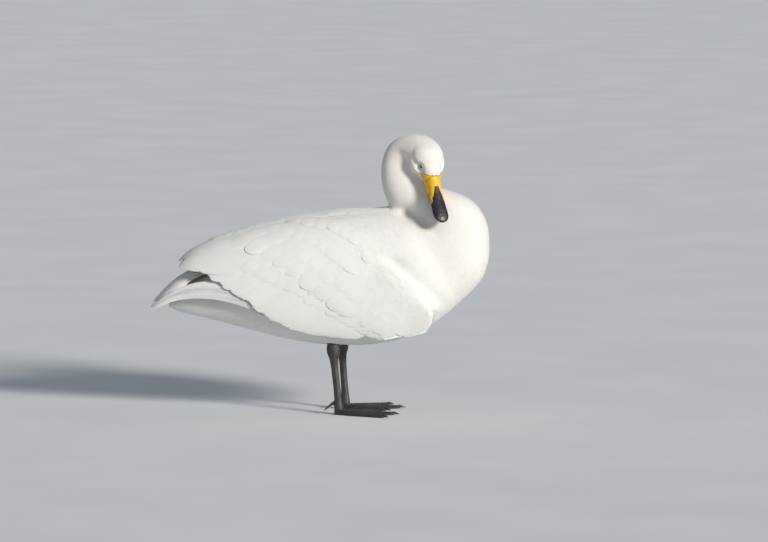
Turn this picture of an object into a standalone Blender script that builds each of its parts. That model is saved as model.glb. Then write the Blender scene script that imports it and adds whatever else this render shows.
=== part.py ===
"""Whooper swan, life size, standing with its neck folded back and its head turned to its right.

Metres, +Z up, +X the way the breast points, -Y the bird's right, soles on Z = 0. The flesh is
rings from rump to bill base, parted into nodes by thin gaps. The folded wings are shells that lie
in the sides of the trunk. At the end all is moved so that the origin is under the middle.
"""

import math

import bmesh
import bpy
from mathutils import Matrix, Vector

# ---- driving sizes ----------------------------------------------------------------------------
GAP = 0.0005  # between two nodes that meet
RING_POINTS = 20
BODY_POWER = 2.35  # how square a section is: 2 is an ellipse
HEAD_POWER = 2.15
CHEEK = 0.13  # how much wider the head is below its middle
RUN_SPAN = 0.6  # rows ahead and behind from which a section's direction is read

# A ring of flesh: throat or belly edge (x, y, z), nape or back edge (x, y, z), half width.
TRUNK_RINGS = (
    (-0.392, 0, 0.232, -0.386, 0, 0.252, 0.022),
    (-0.350, 0, 0.217, -0.347, 0, 0.286, 0.038),
    (-0.292, 0, 0.203, -0.290, 0, 0.318, 0.052),
    (-0.225, 0, 0.186, -0.225, 0, 0.372, 0.076),
    (-0.150, 0, 0.166, -0.150, 0, 0.405, 0.097),
    (-0.075, 0, 0.152, -0.075, 0, 0.431, 0.110),
    (0.000, 0, 0.147, 0.000, 0, 0.446, 0.117),
    (0.080, 0, 0.151, 0.075, 0, 0.450, 0.120),
    (0.155, 0, 0.172, 0.110, 0, 0.448, 0.118),
    (0.215, 0, 0.210, 0.128, 0, 0.443, 0.112),
    (0.250, 0, 0.239, 0.1375, 0, 0.4375, 0.102),
)
RUMP_END = 2  # the trunk ring at which the rump ends
NECK_RINGS = (
    (0.2505, 0, 0.240, 0.139, 0, 0.4385, 0.097),
    (0.300, 0, 0.290, 0.1425, 0, 0.4395, 0.094),
    (0.3165, 0, 0.335, 0.144, 0, 0.441, 0.090),
    (0.319, 0, 0.378, 0.145, 0, 0.443, 0.085),
    (0.311, 0, 0.425, 0.145, 0, 0.4455, 0.079),
    (0.283, 0, 0.466, 0.1435, 0, 0.4465, 0.070),
    (0.245, 0, 0.486, 0.135, 0.001, 0.4465, 0.060),
    (0.213, 0.001, 0.495, 0.118, 0.0025, 0.4465, 0.053),
    (0.189, 0.002, 0.503, 0.099, 0.004, 0.4520, 0.049),
    (0.172, 0.004, 0.515, 0.0865, 0.008, 0.477, 0.045),
    (0.162, 0.006, 0.526, 0.0805, 0.013, 0.502, 0.042),
    (0.156, 0.008, 0.536, 0.079, 0.019, 0.527, 0.0385),
    (0.154, 0.010, 0.542, 0.082, 0.025, 0.557, 0.037),
    (0.155, 0.011, 0.546, 0.095, 0.029, 0.586, 0.0365),
    (0.158, 0.011, 0.548, 0.118, 0.024, 0.605, 0.036),
    (0.161, 0.010, 0.549, 0.145, 0.010, 0.613, 0.036),
    (0.1635, 0.008, 0.549, 0.163, -0.007, 0.611, 0.0365),
    (0.166, 0.006, 0.548, 0.178, -0.024, 0.602, 0.037),
)
NECK_CUTS = (0, 3, 6, 9, 13)  # neck rings at which its lengths are parted; the nape follows

# The head's frame: the middle of the gape, and the way the bill points.
GAPE = Vector((0.191, -0.056, 0.515))
HEAD_YAW = math.radians(-68.3)  # from +X, towards the bird's right
HEAD_DROP = math.radians(51.5)  # below level
# Distance behind the gape, crown height, throat depth and half width.
HEAD_RINGS = (
    (0.066, 0.0365, 0.030, 0.0385),
    (0.050, 0.0355, 0.0305, 0.0385),
    (0.035, 0.0315, 0.028, 0.0340),
    (0.020, 0.0265, 0.023, 0.0260),
    (0.008, 0.0230, 0.020, 0.0210),
    (0.000, 0.0205, 0.018, 0.0180),
)
# Distance ahead of the gape, culmen height, depth of the cutting edge and half width.
UPPER_BILL_RINGS = (
    (0.0005, 0.0200, 0.0085, 0.0172),
    (0.018, 0.0145, 0.0085, 0.0163),
    (0.036, 0.0098, 0.0083, 0.0158),
    (0.055, 0.0065, 0.0080, 0.0163),
    (0.075, 0.0042, 0.0080, 0.0175),
    (0.090, 0.0020, 0.0083, 0.0168),
    (0.099, -0.0005, 0.0088, 0.0130),
    (0.1045, -0.0045, 0.0092, 0.0055),
)
# Distance ahead of the gape, height of the upper edge, depth of the underside and half width.
LOWER_BILL_RINGS = (
    (0.0005, -0.0090, 0.0178, 0.0155),
    (0.030, -0.0089, 0.0160, 0.0143),
    (0.060, -0.0085, 0.0143, 0.0140),
    (0.085, -0.0087, 0.0133, 0.0140),
    (0.097, -0.0093, 0.0125, 0.0085),
)
BILL_POINTS, BILL_SQUARENESS = 16, 2.35
UPPER_WAIST = 0.6  # part of the cutting edge's depth at which the upper bill is widest
LOWER_WAIST = 0.002  # depth below its upper edge at which the lower bill is widest
EYE_BACK, EYE_UP, EYE_OUT, EYE_RADIUS = 0.030, 0.012, 0.0228, 0.0066

# The surface that the folded wings follow: x, lowest, highest, half width.
HULL_RINGS = (
    (-0.440, 0.150, 0.262, 0.050),
    (-0.400, 0.150, 0.305, 0.062),
    (-0.360, 0.150, 0.347, 0.071),
    (-0.330, 0.148, 0.368, 0.079),
    (-0.286, 0.145, 0.386, 0.089),
    (-0.209, 0.138, 0.410, 0.103),
    (-0.099, 0.124, 0.435, 0.117),
    (-0.011, 0.118, 0.449, 0.123),
    (0.095, 0.120, 0.452, 0.1245),
    (0.150, 0.140, 0.446, 0.122),
    (0.200, 0.160, 0.430, 0.117),
    (0.240, 0.185, 0.400, 0.106),
)
MIDLINE = math.radians(89.5)  # how far round the section the two wings reach, near the midline
MIDLINE_GAP = 0.0024  # between the right wing and the left
TOP = 1.0  # a height above all, for a shell that reaches the midline
# Outlines of the folded wing, from the rear: x, lowest, highest.
ARM_OUTLINE = (
    (-0.186, 0.365, TOP),
    (-0.163, 0.329, TOP),
    (-0.128, 0.302, TOP),
    (-0.088, 0.263, TOP),
    (-0.060, 0.249, 0.438),
    (-0.033, 0.236, 0.433),
    (0.000, 0.216, 0.422),
    (0.045, 0.181, 0.392),
    (0.084, 0.163, 0.346),
    (0.105, 0.1655, 0.325),
    (0.150, 0.170, 0.284),
    (0.180, 0.179, 0.256),
    (0.192, 0.192, 0.240),
    (0.197, 0.207, 0.226),
)
SECONDARY_OUTLINE = (
    (-0.368, 0.319, 0.328),
    (-0.362, 0.317, 0.338),
    (-0.348, 0.317, 0.352),
    (-0.326, 0.317, TOP),
    (-0.295, 0.300, TOP),
    (-0.260, 0.274, TOP),
    (-0.227, 0.255, TOP),
    (-0.1874, 0.219, TOP),
    (-0.1867, 0.217, 0.3640),
    (-0.163, 0.204, 0.3275),
    (-0.128, 0.188, 0.3005),
    (-0.088, 0.180, 0.2615),
    (-0.060, 0.165, 0.2475),
    (-0.033, 0.160, 0.2345),
    (0.000, 0.158, 0.2145),
    (0.045, 0.160, 0.1795),
    (0.060, 0.161, 0.1680),
)
PRIMARY_OUTLINE = (
    (-0.4325, 0.221, 0.226),
    (-0.415, 0.2245, 0.247),
    (-0.400, 0.229, 0.261),
    (-0.381, 0.234, 0.272),
    (-0.350, 0.238, 0.283),
    (-0.320, 0.238, 0.288),
    (-0.290, 0.237, 0.288),
    (-0.260, 0.233, 0.284),
    (-0.227, 0.228, 0.268),
    (-0.195, 0.222, 0.240),
)
SHELL_STEPS = 7
EDGE_PART, EDGE_RISE = 0.22, 3.2  # a shell's thickness at its edge, and how fast it grows inward
CUTTER_PROUD = 0.02  # how far a cutter stands out of the surface that it cuts
RADIANS_PER_METRE = 14.0  # turns a small distance along the hull into an angle, amply
# Depth of the outer face below the hull, and thickness.
ARM_LIFT, ARM_THICK = 0.0, 0.014
SECONDARY_LIFT, SECONDARY_THICK = -0.004, 0.0055
PRIMARY_LIFT, PRIMARY_THICK = -0.0115, 0.0060

# The tail's upper midline and half width: x, z, half width, thickness.
TAIL_ROWS = (
    (-0.272, 0.334, 0.040, 0.010),
    (-0.310, 0.328, 0.045, 0.010),
    (-0.345, 0.315, 0.047, 0.009),
    (-0.378, 0.291, 0.044, 0.008),
    (-0.405, 0.262, 0.037, 0.006),
    (-0.424, 0.237, 0.027, 0.004),
    (-0.433, 0.224, 0.015, 0.003),
)
TAIL_ARCH = 0.014  # how much lower its sides are than its midline
TAIL_SQUARENESS = 2.6

# Legs: sideways place, then the ankle's and the foot's place along X on each side.
STANCE = 0.052
ANKLE_X = {"right": -0.026, "left": -0.008}
FOOT_X = {"right": -0.014, "left": 0.000}
FOOT_YAW = {"right": math.radians(-5), "left": math.radians(6)}
# Height, distance ahead of the ankle, half depth and half breadth of the feathered leg.
THIGH_RINGS = (
    (0.152, 0.000, 0.0150, 0.0120),
    (0.160, 0.004, 0.0200, 0.0165),
    (0.175, 0.010, 0.0260, 0.0210),
    (0.195, 0.016, 0.0300, 0.0240),
)
# Height, lean from ankle (0) to foot (1), half depth and half breadth of the bare leg.
SHANK_RINGS = (
    (0.1515, 0.00, 0.0120, 0.0090),
    (0.146, 0.00, 0.0145, 0.0108),
    (0.136, 0.03, 0.0140, 0.0105),
    (0.124, 0.10, 0.0098, 0.0080),
    (0.105, 0.25, 0.0078, 0.0062),
    (0.060, 0.65, 0.0074, 0.0058),
    (0.032, 0.90, 0.0082, 0.0066),
    (0.020, 0.98, 0.0098, 0.0082),
    (0.0128, 1.00, 0.0100, 0.0086),
)
SHANK_SQUARENESS = 2.2
TOES = {"inner": (0.094, 27), "middle": (0.120, 1), "outer": (0.113, -25)}  # length, degrees
TOE_WIDTH, TOE_HEIGHT, TOE_SPREAD = 0.0060, 0.0118, 0.0056
TOE_TAPER = 0.42  # part of its height that a toe loses to its tip
# Across a toe from its left: place in half widths, rise of its back, height of its sole.
TOE_SECTION = ((1, 0, 0.0010), (0.6, 0.75, 0), (0, 1, 0), (-0.6, 0.75, 0), (-1, 0, 0.0010))
FOOT_STATIONS = (0, 0.10, 0.24, 0.44, 0.68, 0.88, 1.0)
WEB_BOTTOM, WEB_TOP, WEB_HOLLOW = 0.0010, 0.0034, 0.17
WEB_COLUMNS = (0.3, 0.7)  # between one toe and the next
WEB_RISE, WEB_RISE_END = 0.0070, 0.12  # the web thickens towards the leg from this part on
HEEL_LENGTH, HEEL_NARROWING, HEEL_DROP = 0.0095, 0.75, 0.90
CLAW_RINGS, CLAW_LENGTH, CLAW_RADIUS, CLAW_DROP = 4, 0.013, 0.0034, 0.0022
CLAW_NARROW, CLAW_TAPER = 0.8, 0.78  # breadth against depth, and how much of it goes by the tip
CLAW_CLEAR = 0.0010  # under the claws
# The raised hind toe, from inside the leg to its tip, and its claw.
HIND_TOE_START, HIND_TOE_END = Vector((-0.0060, 0, 0.0304)), Vector((-0.0265, 0, 0.0140))
HIND_TOE_RADII = (0.0037, 0.0024)
HIND_CLAW_LENGTH, HIND_CLAW_RADII, HIND_CLAW_DROP = 0.008, (0.0021, 0.0005), 0.0010
HIND_NARROW = 0.92

# Linear red, green and blue, then roughness.
COLOURS = {
    "plumage": (0.87, 0.85, 0.80, 0.75),
    "bill": (0.90, 0.52, 0.03, 0.38),
    "eye": (0.03, 0.015, 0.008, 0.08),
    "leg": (0.025, 0.024, 0.024, 0.45),
    "claw": (0.012, 0.011, 0.010, 0.30),
}


# ---- helpers ----------------------------------------------------------------------------------
def clear_scene():
    for obj in list(bpy.data.objects):
        bpy.data.objects.remove(obj, do_unlink=True)


def material(name):
    found = bpy.data.materials.get(name)
    if found:
        return found
    red, green, blue, roughness = COLOURS[name]
    made = bpy.data.materials.new(name)
    made.use_nodes = True
    shader = made.node_tree.nodes["Principled BSDF"]
    shader.inputs["Base Color"].default_value = (red, green, blue, 1.0)
    shader.inputs["Roughness"].default_value = roughness
    shader.inputs["Metallic"].default_value = 0.0
    return made


def spline(rows, t):
    """The rows of numbers as one smooth curve, read at t, where whole numbers are the rows."""
    last = len(rows) - 1
    i = min(max(int(math.floor(t)), 0), last - 1)
    f = t - i
    before, a, b, after = rows[max(i - 1, 0)], rows[i], rows[i + 1], rows[min(i + 2, last)]
    read = []
    for p, q, r, s in zip(before, a, b, after):
        m, n = (r - p) / 2, (s - q) / 2
        near = (2 * f**3 - 3 * f**2 + 1) * q + (f**3 - 2 * f**2 + f) * m
        read.append(near + (3 * f**2 - 2 * f**3) * r + (f**3 - f**2) * n)
    return read


def at_x(rows, x):
    """The rows, whose first number rises, read where that number is x."""
    low, high = 0.0, len(rows) - 1.0
    for _ in range(40):
        middle = (low + high) / 2
        if spline(rows, middle)[0] < x:
            low = middle
        else:
            high = middle
    return spline(rows, low)


def power(value, exponent):
    return math.copysign(abs(value) ** exponent, value)


def oval(centre, across, up, squareness, cheek=0.0, points=RING_POINTS):
    """A ring of points round centre, with the half sizes across and up."""
    ring = []
    for k in range(points):
        angle = 2 * math.pi * (k + 0.5) / points
        c = power(math.cos(angle), 2 / squareness)
        s = power(math.sin(angle), 2 / squareness)
        ring.append(centre + across * c * (1 - cheek * s) + up * s)
    return ring


def object_from(bm, name, finish):
    bmesh.ops.recalc_face_normals(bm, faces=bm.faces)
    mesh = bpy.data.meshes.new(name)
    bm.to_mesh(mesh)
    bm.free()
    mesh.materials.append(material(finish))
    mesh.shade_smooth()
    mesh.set_sharp_from_angle(angle=math.radians(40))
    obj = bpy.data.objects.new(name, mesh)
    bpy.context.scene.collection.objects.link(obj)
    return obj


def loft(name, rings, finish):
    """A closed solid through rings of equal count, with flat ends.

    Its sides are triangles, so that a grown copy, used as a cutter, is folded the same way.
    """
    bm = bmesh.new()
    loops = [[bm.verts.new(point) for point in ring] for ring in rings]
    count = len(rings[0])
    for first, second in zip(loops, loops[1:]):
        for k in range(count):
            j = (k + 1) % count
            bm.faces.new((first[k], first[j], second[j]))
            bm.faces.new((first[k], second[j], second[k]))
    bm.faces.new(loops[0])
    bm.faces.new(list(reversed(loops[-1])))
    return object_from(bm, name, finish)


def helper(obj):
    """Marks a cutter or a piece that is only added to another."""
    obj.hide_render = True
    obj.display_type = "WIRE"
    return obj


def boolean(obj, other, operation):
    modifier = obj.modifiers.new(operation.lower(), "BOOLEAN")
    modifier.operation = operation
    modifier.object = helper(other)
    modifier.solver = "EXACT"


def side_sign(side):
    return -1.0 if side == "right" else 1.0


def head_frame():
    """Unit vectors along the bill, to the crown and to the bird's left."""
    level = Vector((math.cos(HEAD_YAW), math.sin(HEAD_YAW), 0))
    ahead = level * math.cos(HEAD_DROP) - Vector((0, 0, math.sin(HEAD_DROP)))
    crown = level * math.sin(HEAD_DROP) + Vector((0, 0, math.cos(HEAD_DROP)))
    return ahead, crown, crown.cross(ahead)


def head_point(along, up, left):
    ahead, crown, leftward = head_frame()
    return GAPE + ahead * along + crown * up + leftward * left


# ---- flesh ------------------------------------------------------------------------------------
def flesh_rows():
    """The neck's rows, with the head's added in the same form."""
    rows = [tuple(row) for row in NECK_RINGS]
    for back, crown_up, throat, half_width in HEAD_RINGS:
        low = head_point(-back, -throat, 0)
        high = head_point(-back, crown_up, 0)
        rows.append((*low, *high, half_width))
    return rows


def ring_at(rows, t, squareness, grow=0.0, cheek=0.0):
    """The ring at t, square to both its own height and the way the flesh runs there."""
    row = spline(rows, t)
    low, high = Vector(row[:3]), Vector(row[3:6])
    last = len(rows) - 1
    back = spline(rows, max(t - RUN_SPAN, 0))
    onward = spline(rows, min(t + RUN_SPAN, last))
    run = Vector(onward[:3]) + Vector(onward[3:6]) - Vector(back[:3]) - Vector(back[3:6])
    up = (high - low) / 2
    across = run.cross(up).normalized() * (row[6] + grow)
    up += up.normalized() * grow
    return oval((low + high) / 2, across, up, squareness, cheek)


def steps_between(start, end, step):
    count = max(2, round((end - start) / step))
    return [start + (end - start) * k / count for k in range(count + 1)]


def slid(ring, distance):
    """The ring moved square to itself, onward where distance is above nothing."""
    quarter = RING_POINTS // 4
    across = ring[0] - ring[2 * quarter]
    up = ring[quarter] - ring[3 * quarter]
    onward = up.cross(across).normalized()
    return [point + onward * distance for point in ring]


def parted(rings, front=True, back=True):
    """The rings with the first and last drawn in by half of the gap."""
    first = slid(rings[0], GAP / 2) if front else rings[0]
    last = slid(rings[-1], -GAP / 2) if back else rings[-1]
    return [first] + rings[1:-1] + [last]


def flesh_rings(rows, start, end, step=0.5, grow=0.0):
    return [ring_at(rows, t, BODY_POWER, grow) for t in steps_between(start, end, step)]


def make_trunk():
    end = len(TRUNK_RINGS) - 1
    rump = loft("rump", parted(flesh_rings(TRUNK_RINGS, 0, RUMP_END), front=False), "plumage")
    trunk = loft("trunk", parted(flesh_rings(TRUNK_RINGS, RUMP_END, end, 0.67)), "plumage")
    return rump, trunk


def make_neck():
    rows = flesh_rows()
    lengths = []
    for number, (start, end) in enumerate(zip(NECK_CUTS, NECK_CUTS[1:]), 1):
        rings = parted(flesh_rings(rows, start, end))
        lengths.append(loft(f"neck_{number}", rings, "plumage"))
    return lengths


def trunk_space(name, start):
    """A cutter the shape of the trunk from the ring start on."""
    rings = flesh_rings(TRUNK_RINGS, start, len(TRUNK_RINGS) - 1, grow=GAP)
    return loft(name, rings, "plumage")


def wrapped(name, rings):
    """The convex body round the rings of a tight bend, whose inner side would fold on itself."""
    bm = bmesh.new()
    for ring in rings:
        for point in ring:
            bm.verts.new(point)
    hull = bmesh.ops.convex_hull(bm, input=bm.verts)
    inside = hull["geom_interior"] + hull["geom_unused"]
    unused = {item for item in inside if isinstance(item, bmesh.types.BMVert)}
    bmesh.ops.delete(bm, geom=list(unused), context="VERTS")
    return object_from(bm, name, "plumage")


def head_rings(grow=0.0):
    rows = flesh_rows()
    first, last = len(NECK_RINGS), len(rows) - 1
    rings = []
    for t in steps_between(first, last, 0.5):
        f = (t - first) / (last - first)
        cheek = CHEEK * math.sin(math.pi * min(1.0, f * 1.4))
        squareness = BODY_POWER + (HEAD_POWER - BODY_POWER) * min(1.0, f * 2)
        rings.append(ring_at(rows, t, squareness, grow, cheek))
    return rings


def make_head(neck):
    """The nape goes over to the head; where the jaw presses on the neck, the neck gives way."""
    nape_rows = flesh_rows(), NECK_CUTS[-1], len(NECK_RINGS)
    nape = wrapped("nape", parted(flesh_rings(*nape_rows), back=False))
    head = loft("head", parted(head_rings(), back=False), "plumage")
    grown = head_rings(GAP)
    head_space = loft("head_space", [slid(grown[0], -GAP / 2)] + grown[1:], "plumage")
    nape_space = wrapped("nape_space", parted(flesh_rings(*nape_rows, grow=GAP), back=False))
    back_space = trunk_space("back_space", 4)
    boolean(nape, head_space, "DIFFERENCE")
    boolean(neck[-1], nape_space, "DIFFERENCE")
    for length in neck[2:]:
        boolean(length, head_space, "DIFFERENCE")
        boolean(length, back_space, "DIFFERENCE")
    for side in ("right", "left"):
        boolean(head, eyeball(f"socket_{side}", side, GAP), "DIFFERENCE")
        eyeball(f"eye_{side}", side, 0.0)


def eyeball(name, side, grow):
    bm = bmesh.new()
    bmesh.ops.create_uvsphere(bm, u_segments=12, v_segments=8, radius=EYE_RADIUS + grow)
    place = head_point(-EYE_BACK, EYE_UP, EYE_OUT * side_sign(side))
    bmesh.ops.translate(bm, verts=bm.verts, vec=place)
    return object_from(bm, name, "eye")


def bill_ring(along, top, bottom, half_width, waist):
    """A section of the bill, widest at the height waist."""
    ring = []
    for k in range(BILL_POINTS):
        angle = 2 * math.pi * (k + 0.5) / BILL_POINTS
        c = power(math.cos(angle), 2 / BILL_SQUARENESS)
        s = power(math.sin(angle), 2 / BILL_SQUARENESS)
        height = waist + s * (top - waist if s > 0 else waist - bottom)
        ring.append(head_point(along, height, c * half_width))
    return ring


def make_bill():
    upper = []
    for t in steps_between(0, len(UPPER_BILL_RINGS) - 1, 0.7):
        along, top, edge, half_width = spline(UPPER_BILL_RINGS, t)
        upper.append(bill_ring(along, top, -edge, half_width, -edge * UPPER_WAIST))
    loft("bill_upper", upper, "bill")
    lower = []
    for t in steps_between(0, len(LOWER_BILL_RINGS) - 1, 0.7):
        along, top, depth, half_width = spline(LOWER_BILL_RINGS, t)
        lower.append(bill_ring(along, top, -depth, half_width, top - LOWER_WAIST))
    loft("bill_lower", lower, "bill")


# ---- wings and tail ---------------------------------------------------------------------------
def hull_point(x, angle, side, lift):
    """A point on the wings' surface at x, angle round from level, raised by lift."""
    _, low, high, half_width = at_x(HULL_RINGS, x)
    middle, half_height = (low + high) / 2, (high - low) / 2
    exponent = 2 / BODY_POWER
    y = half_width * power(math.cos(angle), exponent)
    z = half_height * power(math.sin(angle), exponent)
    normal_y = power(math.cos(angle), 2 - exponent) / half_width
    normal_z = power(math.sin(angle), 2 - exponent) / half_height
    raised = Vector((x, y, middle + z)) + Vector((0, normal_y, normal_z)).normalized() * lift
    raised.y = max(raised.y, MIDLINE_GAP / 2)
    return Vector((raised.x, raised.y * side_sign(side), raised.z))


def hull_angle(x, z):
    """How far round the section from level the height z lies."""
    _, low, high, _ = at_x(HULL_RINGS, x)
    part = (z - (low + high) / 2) / ((high - low) / 2)
    part = max(-1.0, min(1.0, part))
    return min(MIDLINE, math.asin(power(part, BODY_POWER / 2)))


def shell(name, outline, side, lift, thick, grow=0.0):
    """A shell on the hull within an outline. With grow it is a cutter, larger all round."""
    rings = []
    outward = lift + (CUTTER_PROUD if grow else 0.0)
    for number, (x, low, high) in enumerate(outline):
        x += {0: -grow, len(outline) - 1: grow}.get(number, 0.0)
        start, end = hull_angle(x, low), hull_angle(x, high)
        outer, inner = [], []
        for k in range(SHELL_STEPS + 1):
            f = k / SHELL_STEPS
            angle = start + (end - start) * f
            angle += {0: -grow, SHELL_STEPS: grow}.get(k, 0.0) * RADIANS_PER_METRE
            depth = thick * min(1.0, EDGE_PART + EDGE_RISE * min(f, 1 - f)) + grow
            outer.append(hull_point(x, angle, side, outward))
            inner.append(hull_point(x, angle, side, lift - depth))
        rings.append(outer + list(reversed(inner)))
    return loft(name, rings, "plumage")


def make_wings(trunk):
    """The arm and the secondaries lie in the trunk's sides; the primaries run out free of it."""
    for side in ("right", "left"):
        arm = ARM_OUTLINE, side, ARM_LIFT, ARM_THICK
        rear = SECONDARY_OUTLINE, side, SECONDARY_LIFT, SECONDARY_THICK
        shell(f"wing_{side}", *arm)
        shell(f"secondaries_{side}", *rear)
        shell(f"primaries_{side}", PRIMARY_OUTLINE, side, PRIMARY_LIFT, PRIMARY_THICK)
        boolean(trunk, shell(f"arm_space_{side}", *arm, GAP), "DIFFERENCE")
        boolean(trunk, shell(f"secondary_space_{side}", *rear, GAP), "DIFFERENCE")


def tail_rings(grow):
    rings = []
    for t in steps_between(0, len(TAIL_ROWS) - 1, 0.75):
        x, z, half_width, thick = spline(TAIL_ROWS, t)
        ring = []
        wide, high = Vector((0, half_width + grow, 0)), Vector((0, 0, 1))
        for point in oval(Vector(), wide, high, TAIL_SQUARENESS, points=16):
            sag = TAIL_ARCH * (point.y / half_width) ** 2
            ring.append(Vector((x, point.y, z - thick / 2 - sag + point.z * (thick / 2 + grow))))
        rings.append(ring)
    return rings


def make_tail(trunk, rump):
    loft("tail", tail_rings(0.0), "plumage")
    rings = tail_rings(GAP)
    ahead = [point + Vector((GAP, 0, 0)) for point in rings[0]]
    space = loft("tail_space", [ahead] + rings[1:], "plumage")
    boolean(trunk, space, "DIFFERENCE")
    boolean(rump, space, "DIFFERENCE")


# ---- legs -------------------------------------------------------------------------------------
def foot_turn(side):
    place = Vector((FOOT_X[side], STANCE * side_sign(side), 0))
    return Matrix.Translation(place) @ Matrix.Rotation(FOOT_YAW[side], 4, "Z")


def upright_loft(name, rows, side, finish, squareness=2.0):
    """A solid through level rings: height, place along X, half depth and half breadth."""
    rings = []
    for z, x, half_depth, half_breadth in rows:
        centre = Vector((x, STANCE * side_sign(side), z))
        deep, broad = Vector((half_depth, 0, 0)), Vector((0, half_breadth, 0))
        rings.append(oval(centre, deep, broad, squareness, points=16))
    return loft(name, rings, finish)


def make_thigh(side, body_space):
    rows = [(z, ANKLE_X[side] + ahead, deep, broad) for z, ahead, deep, broad in THIGH_RINGS]
    boolean(upright_loft(f"thigh_{side}", rows, side, "plumage"), body_space, "DIFFERENCE")


def shank_solid(name, side, grow=0.0):
    """The bare leg. With grow it is a cutter, larger all round."""
    reach = FOOT_X[side] - ANKLE_X[side]
    rows = [
        (z, ANKLE_X[side] + reach * lean, deep + grow, broad + grow)
        for z, lean, deep, broad in SHANK_RINGS
    ]
    return upright_loft(name, rows, side, "leg", SHANK_SQUARENESS)


def toe_direction(side, which):
    """The way a toe points before the foot is turned; the inner toe leans to the midline."""
    angle = math.radians(TOES[which][1]) * -side_sign(side)
    return Vector((math.cos(angle), math.sin(angle), 0))


def toe_width(s):
    """Half the width of a toe at s of its length; the toes run together at the heel."""
    return min(TOE_WIDTH * (1.12 - 0.45 * s), 0.0025 + 0.027 * s)


def toe_point(side, which, s, part):
    """A point at s of a toe's length, part of its half width to its left."""
    length = TOES[which][0]
    direction = toe_direction(side, which)
    across = Vector((-direction.y, direction.x, 0))
    lean = {"inner": -1, "middle": 0, "outer": 1}[which] * side_sign(side)
    start = Vector((0, TOE_SPREAD * lean, 0))
    return start + direction * length * s + across * toe_width(s) * part


def foot_row(side, s):
    """Top and bottom points of the foot at s of the toes' length, from its left to its right."""
    order = ("outer", "middle", "inner") if side == "left" else ("inner", "middle", "outer")
    web_top = WEB_TOP + WEB_RISE * max(0.0, 1 - s / WEB_RISE_END)
    toe_top = TOE_HEIGHT * (1 - TOE_TAPER * s)
    top, bottom = [], []
    for number, which in enumerate(order):
        for part, rise, sole in TOE_SECTION:
            point = toe_point(side, which, s, part)
            top.append(point + Vector((0, 0, web_top + (toe_top - web_top) * rise)))
            bottom.append(point + Vector((0, 0, sole)))
        if number == len(order) - 1:
            break
        for f in WEB_COLUMNS:
            behind = s * (1 - WEB_HOLLOW * math.sin(math.pi * f) * s)
            left = toe_point(side, which, behind, -1)
            right = toe_point(side, order[number + 1], behind, 1)
            point = left.lerp(right, f)
            top.append(point + Vector((0, 0, web_top)))
            bottom.append(point + Vector((0, 0, WEB_BOTTOM)))
    return top, bottom


def foot_solid(name, side):
    """Toes and web in one closed plate, with flat soles under the toes."""
    rows = [foot_row(side, s) for s in FOOT_STATIONS]
    heel = []
    for sheet in rows[0]:
        heel.append([Vector((-HEEL_LENGTH, p.y * HEEL_NARROWING, p.z * HEEL_DROP)) for p in sheet])
    rows.insert(0, tuple(heel))
    bm = bmesh.new()
    sheets = [[[bm.verts.new(p) for p in row[which]] for row in rows] for which in (0, 1)]
    columns = len(rows[0][0])
    for sheet in sheets:
        for first, second in zip(sheet, sheet[1:]):
            for k in range(columns - 1):
                bm.faces.new((first[k], first[k + 1], second[k + 1], second[k]))
    top, bottom = sheets
    for k in range(columns - 1):
        for end in (0, -1):
            bm.faces.new((top[end][k], top[end][k + 1], bottom[end][k + 1], bottom[end][k]))
    for r in range(len(rows) - 1):
        for edge in (0, -1):
            bm.faces.new((top[r][edge], top[r + 1][edge], bottom[r + 1][edge], bottom[r][edge]))
    return object_from(bm, name, "leg")


def horn(name, start, end, radii, narrow, drop, finish, count=CLAW_RINGS):
    """A tapering round piece from start to end, whose far end bends down by drop."""
    run = (end - start).normalized()
    across = Vector((-run.y, run.x, 0)).normalized()
    up = run.cross(across)
    rings = []
    for k in range(count):
        f = k / (count - 1)
        radius = radii[0] + (radii[1] - radii[0]) * f
        centre = start.lerp(end, f) - Vector((0, 0, drop * f * f))
        rings.append(oval(centre, across * radius * narrow, up * radius, 2, points=8))
    return loft(name, rings, finish)


def make_foot(side):
    """The webbed foot and the claws ahead of its three toes."""
    pieces = [foot_solid(f"foot_{side}", side)]
    radii = CLAW_RADIUS, CLAW_RADIUS * (1 - CLAW_TAPER)
    for which in TOES:
        direction = toe_direction(side, which)
        start = toe_point(side, which, 1, 0) + direction * GAP
        start.z = CLAW_RADIUS + CLAW_CLEAR
        end = start + direction * CLAW_LENGTH
        name = f"claw_{which}_{side}"
        pieces.append(horn(name, start, end, radii, CLAW_NARROW, CLAW_DROP, "claw"))
    return pieces


def make_hind_toe(side):
    """The short raised toe, which grows out of the back of the leg, and its claw."""
    start, end = HIND_TOE_START, HIND_TOE_END
    run = (end - start).normalized()
    tip = end + run * HIND_CLAW_LENGTH
    toe = horn(f"hind_toe_{side}", start, end, HIND_TOE_RADII, HIND_NARROW, 0.0, "leg")
    base = end + run * GAP
    name = f"claw_hind_{side}"
    nail = horn(name, base, tip, HIND_CLAW_RADII, HIND_NARROW, HIND_CLAW_DROP, "claw")
    return toe, nail


def make_legs():
    body_space = trunk_space("body_space", 3)
    for side in ("right", "left"):
        make_thigh(side, body_space)
        shank_solid(f"shank_{side}", side)
        turn = foot_turn(side)
        toe, nail = make_hind_toe(side)
        for piece in make_foot(side) + [toe, nail]:
            piece.data.transform(turn)
        boolean(toe, shank_solid(f"shank_space_{side}", side, GAP), "DIFFERENCE")


# ---- whole bird -------------------------------------------------------------------------------
def centre_on_origin():
    """Moves everything along X and Y so that the origin is under the middle of the bird."""
    points = [v.co for obj in bpy.data.objects if not obj.hide_render for v in obj.data.vertices]
    middle_x = (min(p.x for p in points) + max(p.x for p in points)) / 2
    middle_y = (min(p.y for p in points) + max(p.y for p in points)) / 2
    for obj in bpy.data.objects:
        obj.location = (-middle_x, -middle_y, 0)


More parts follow.
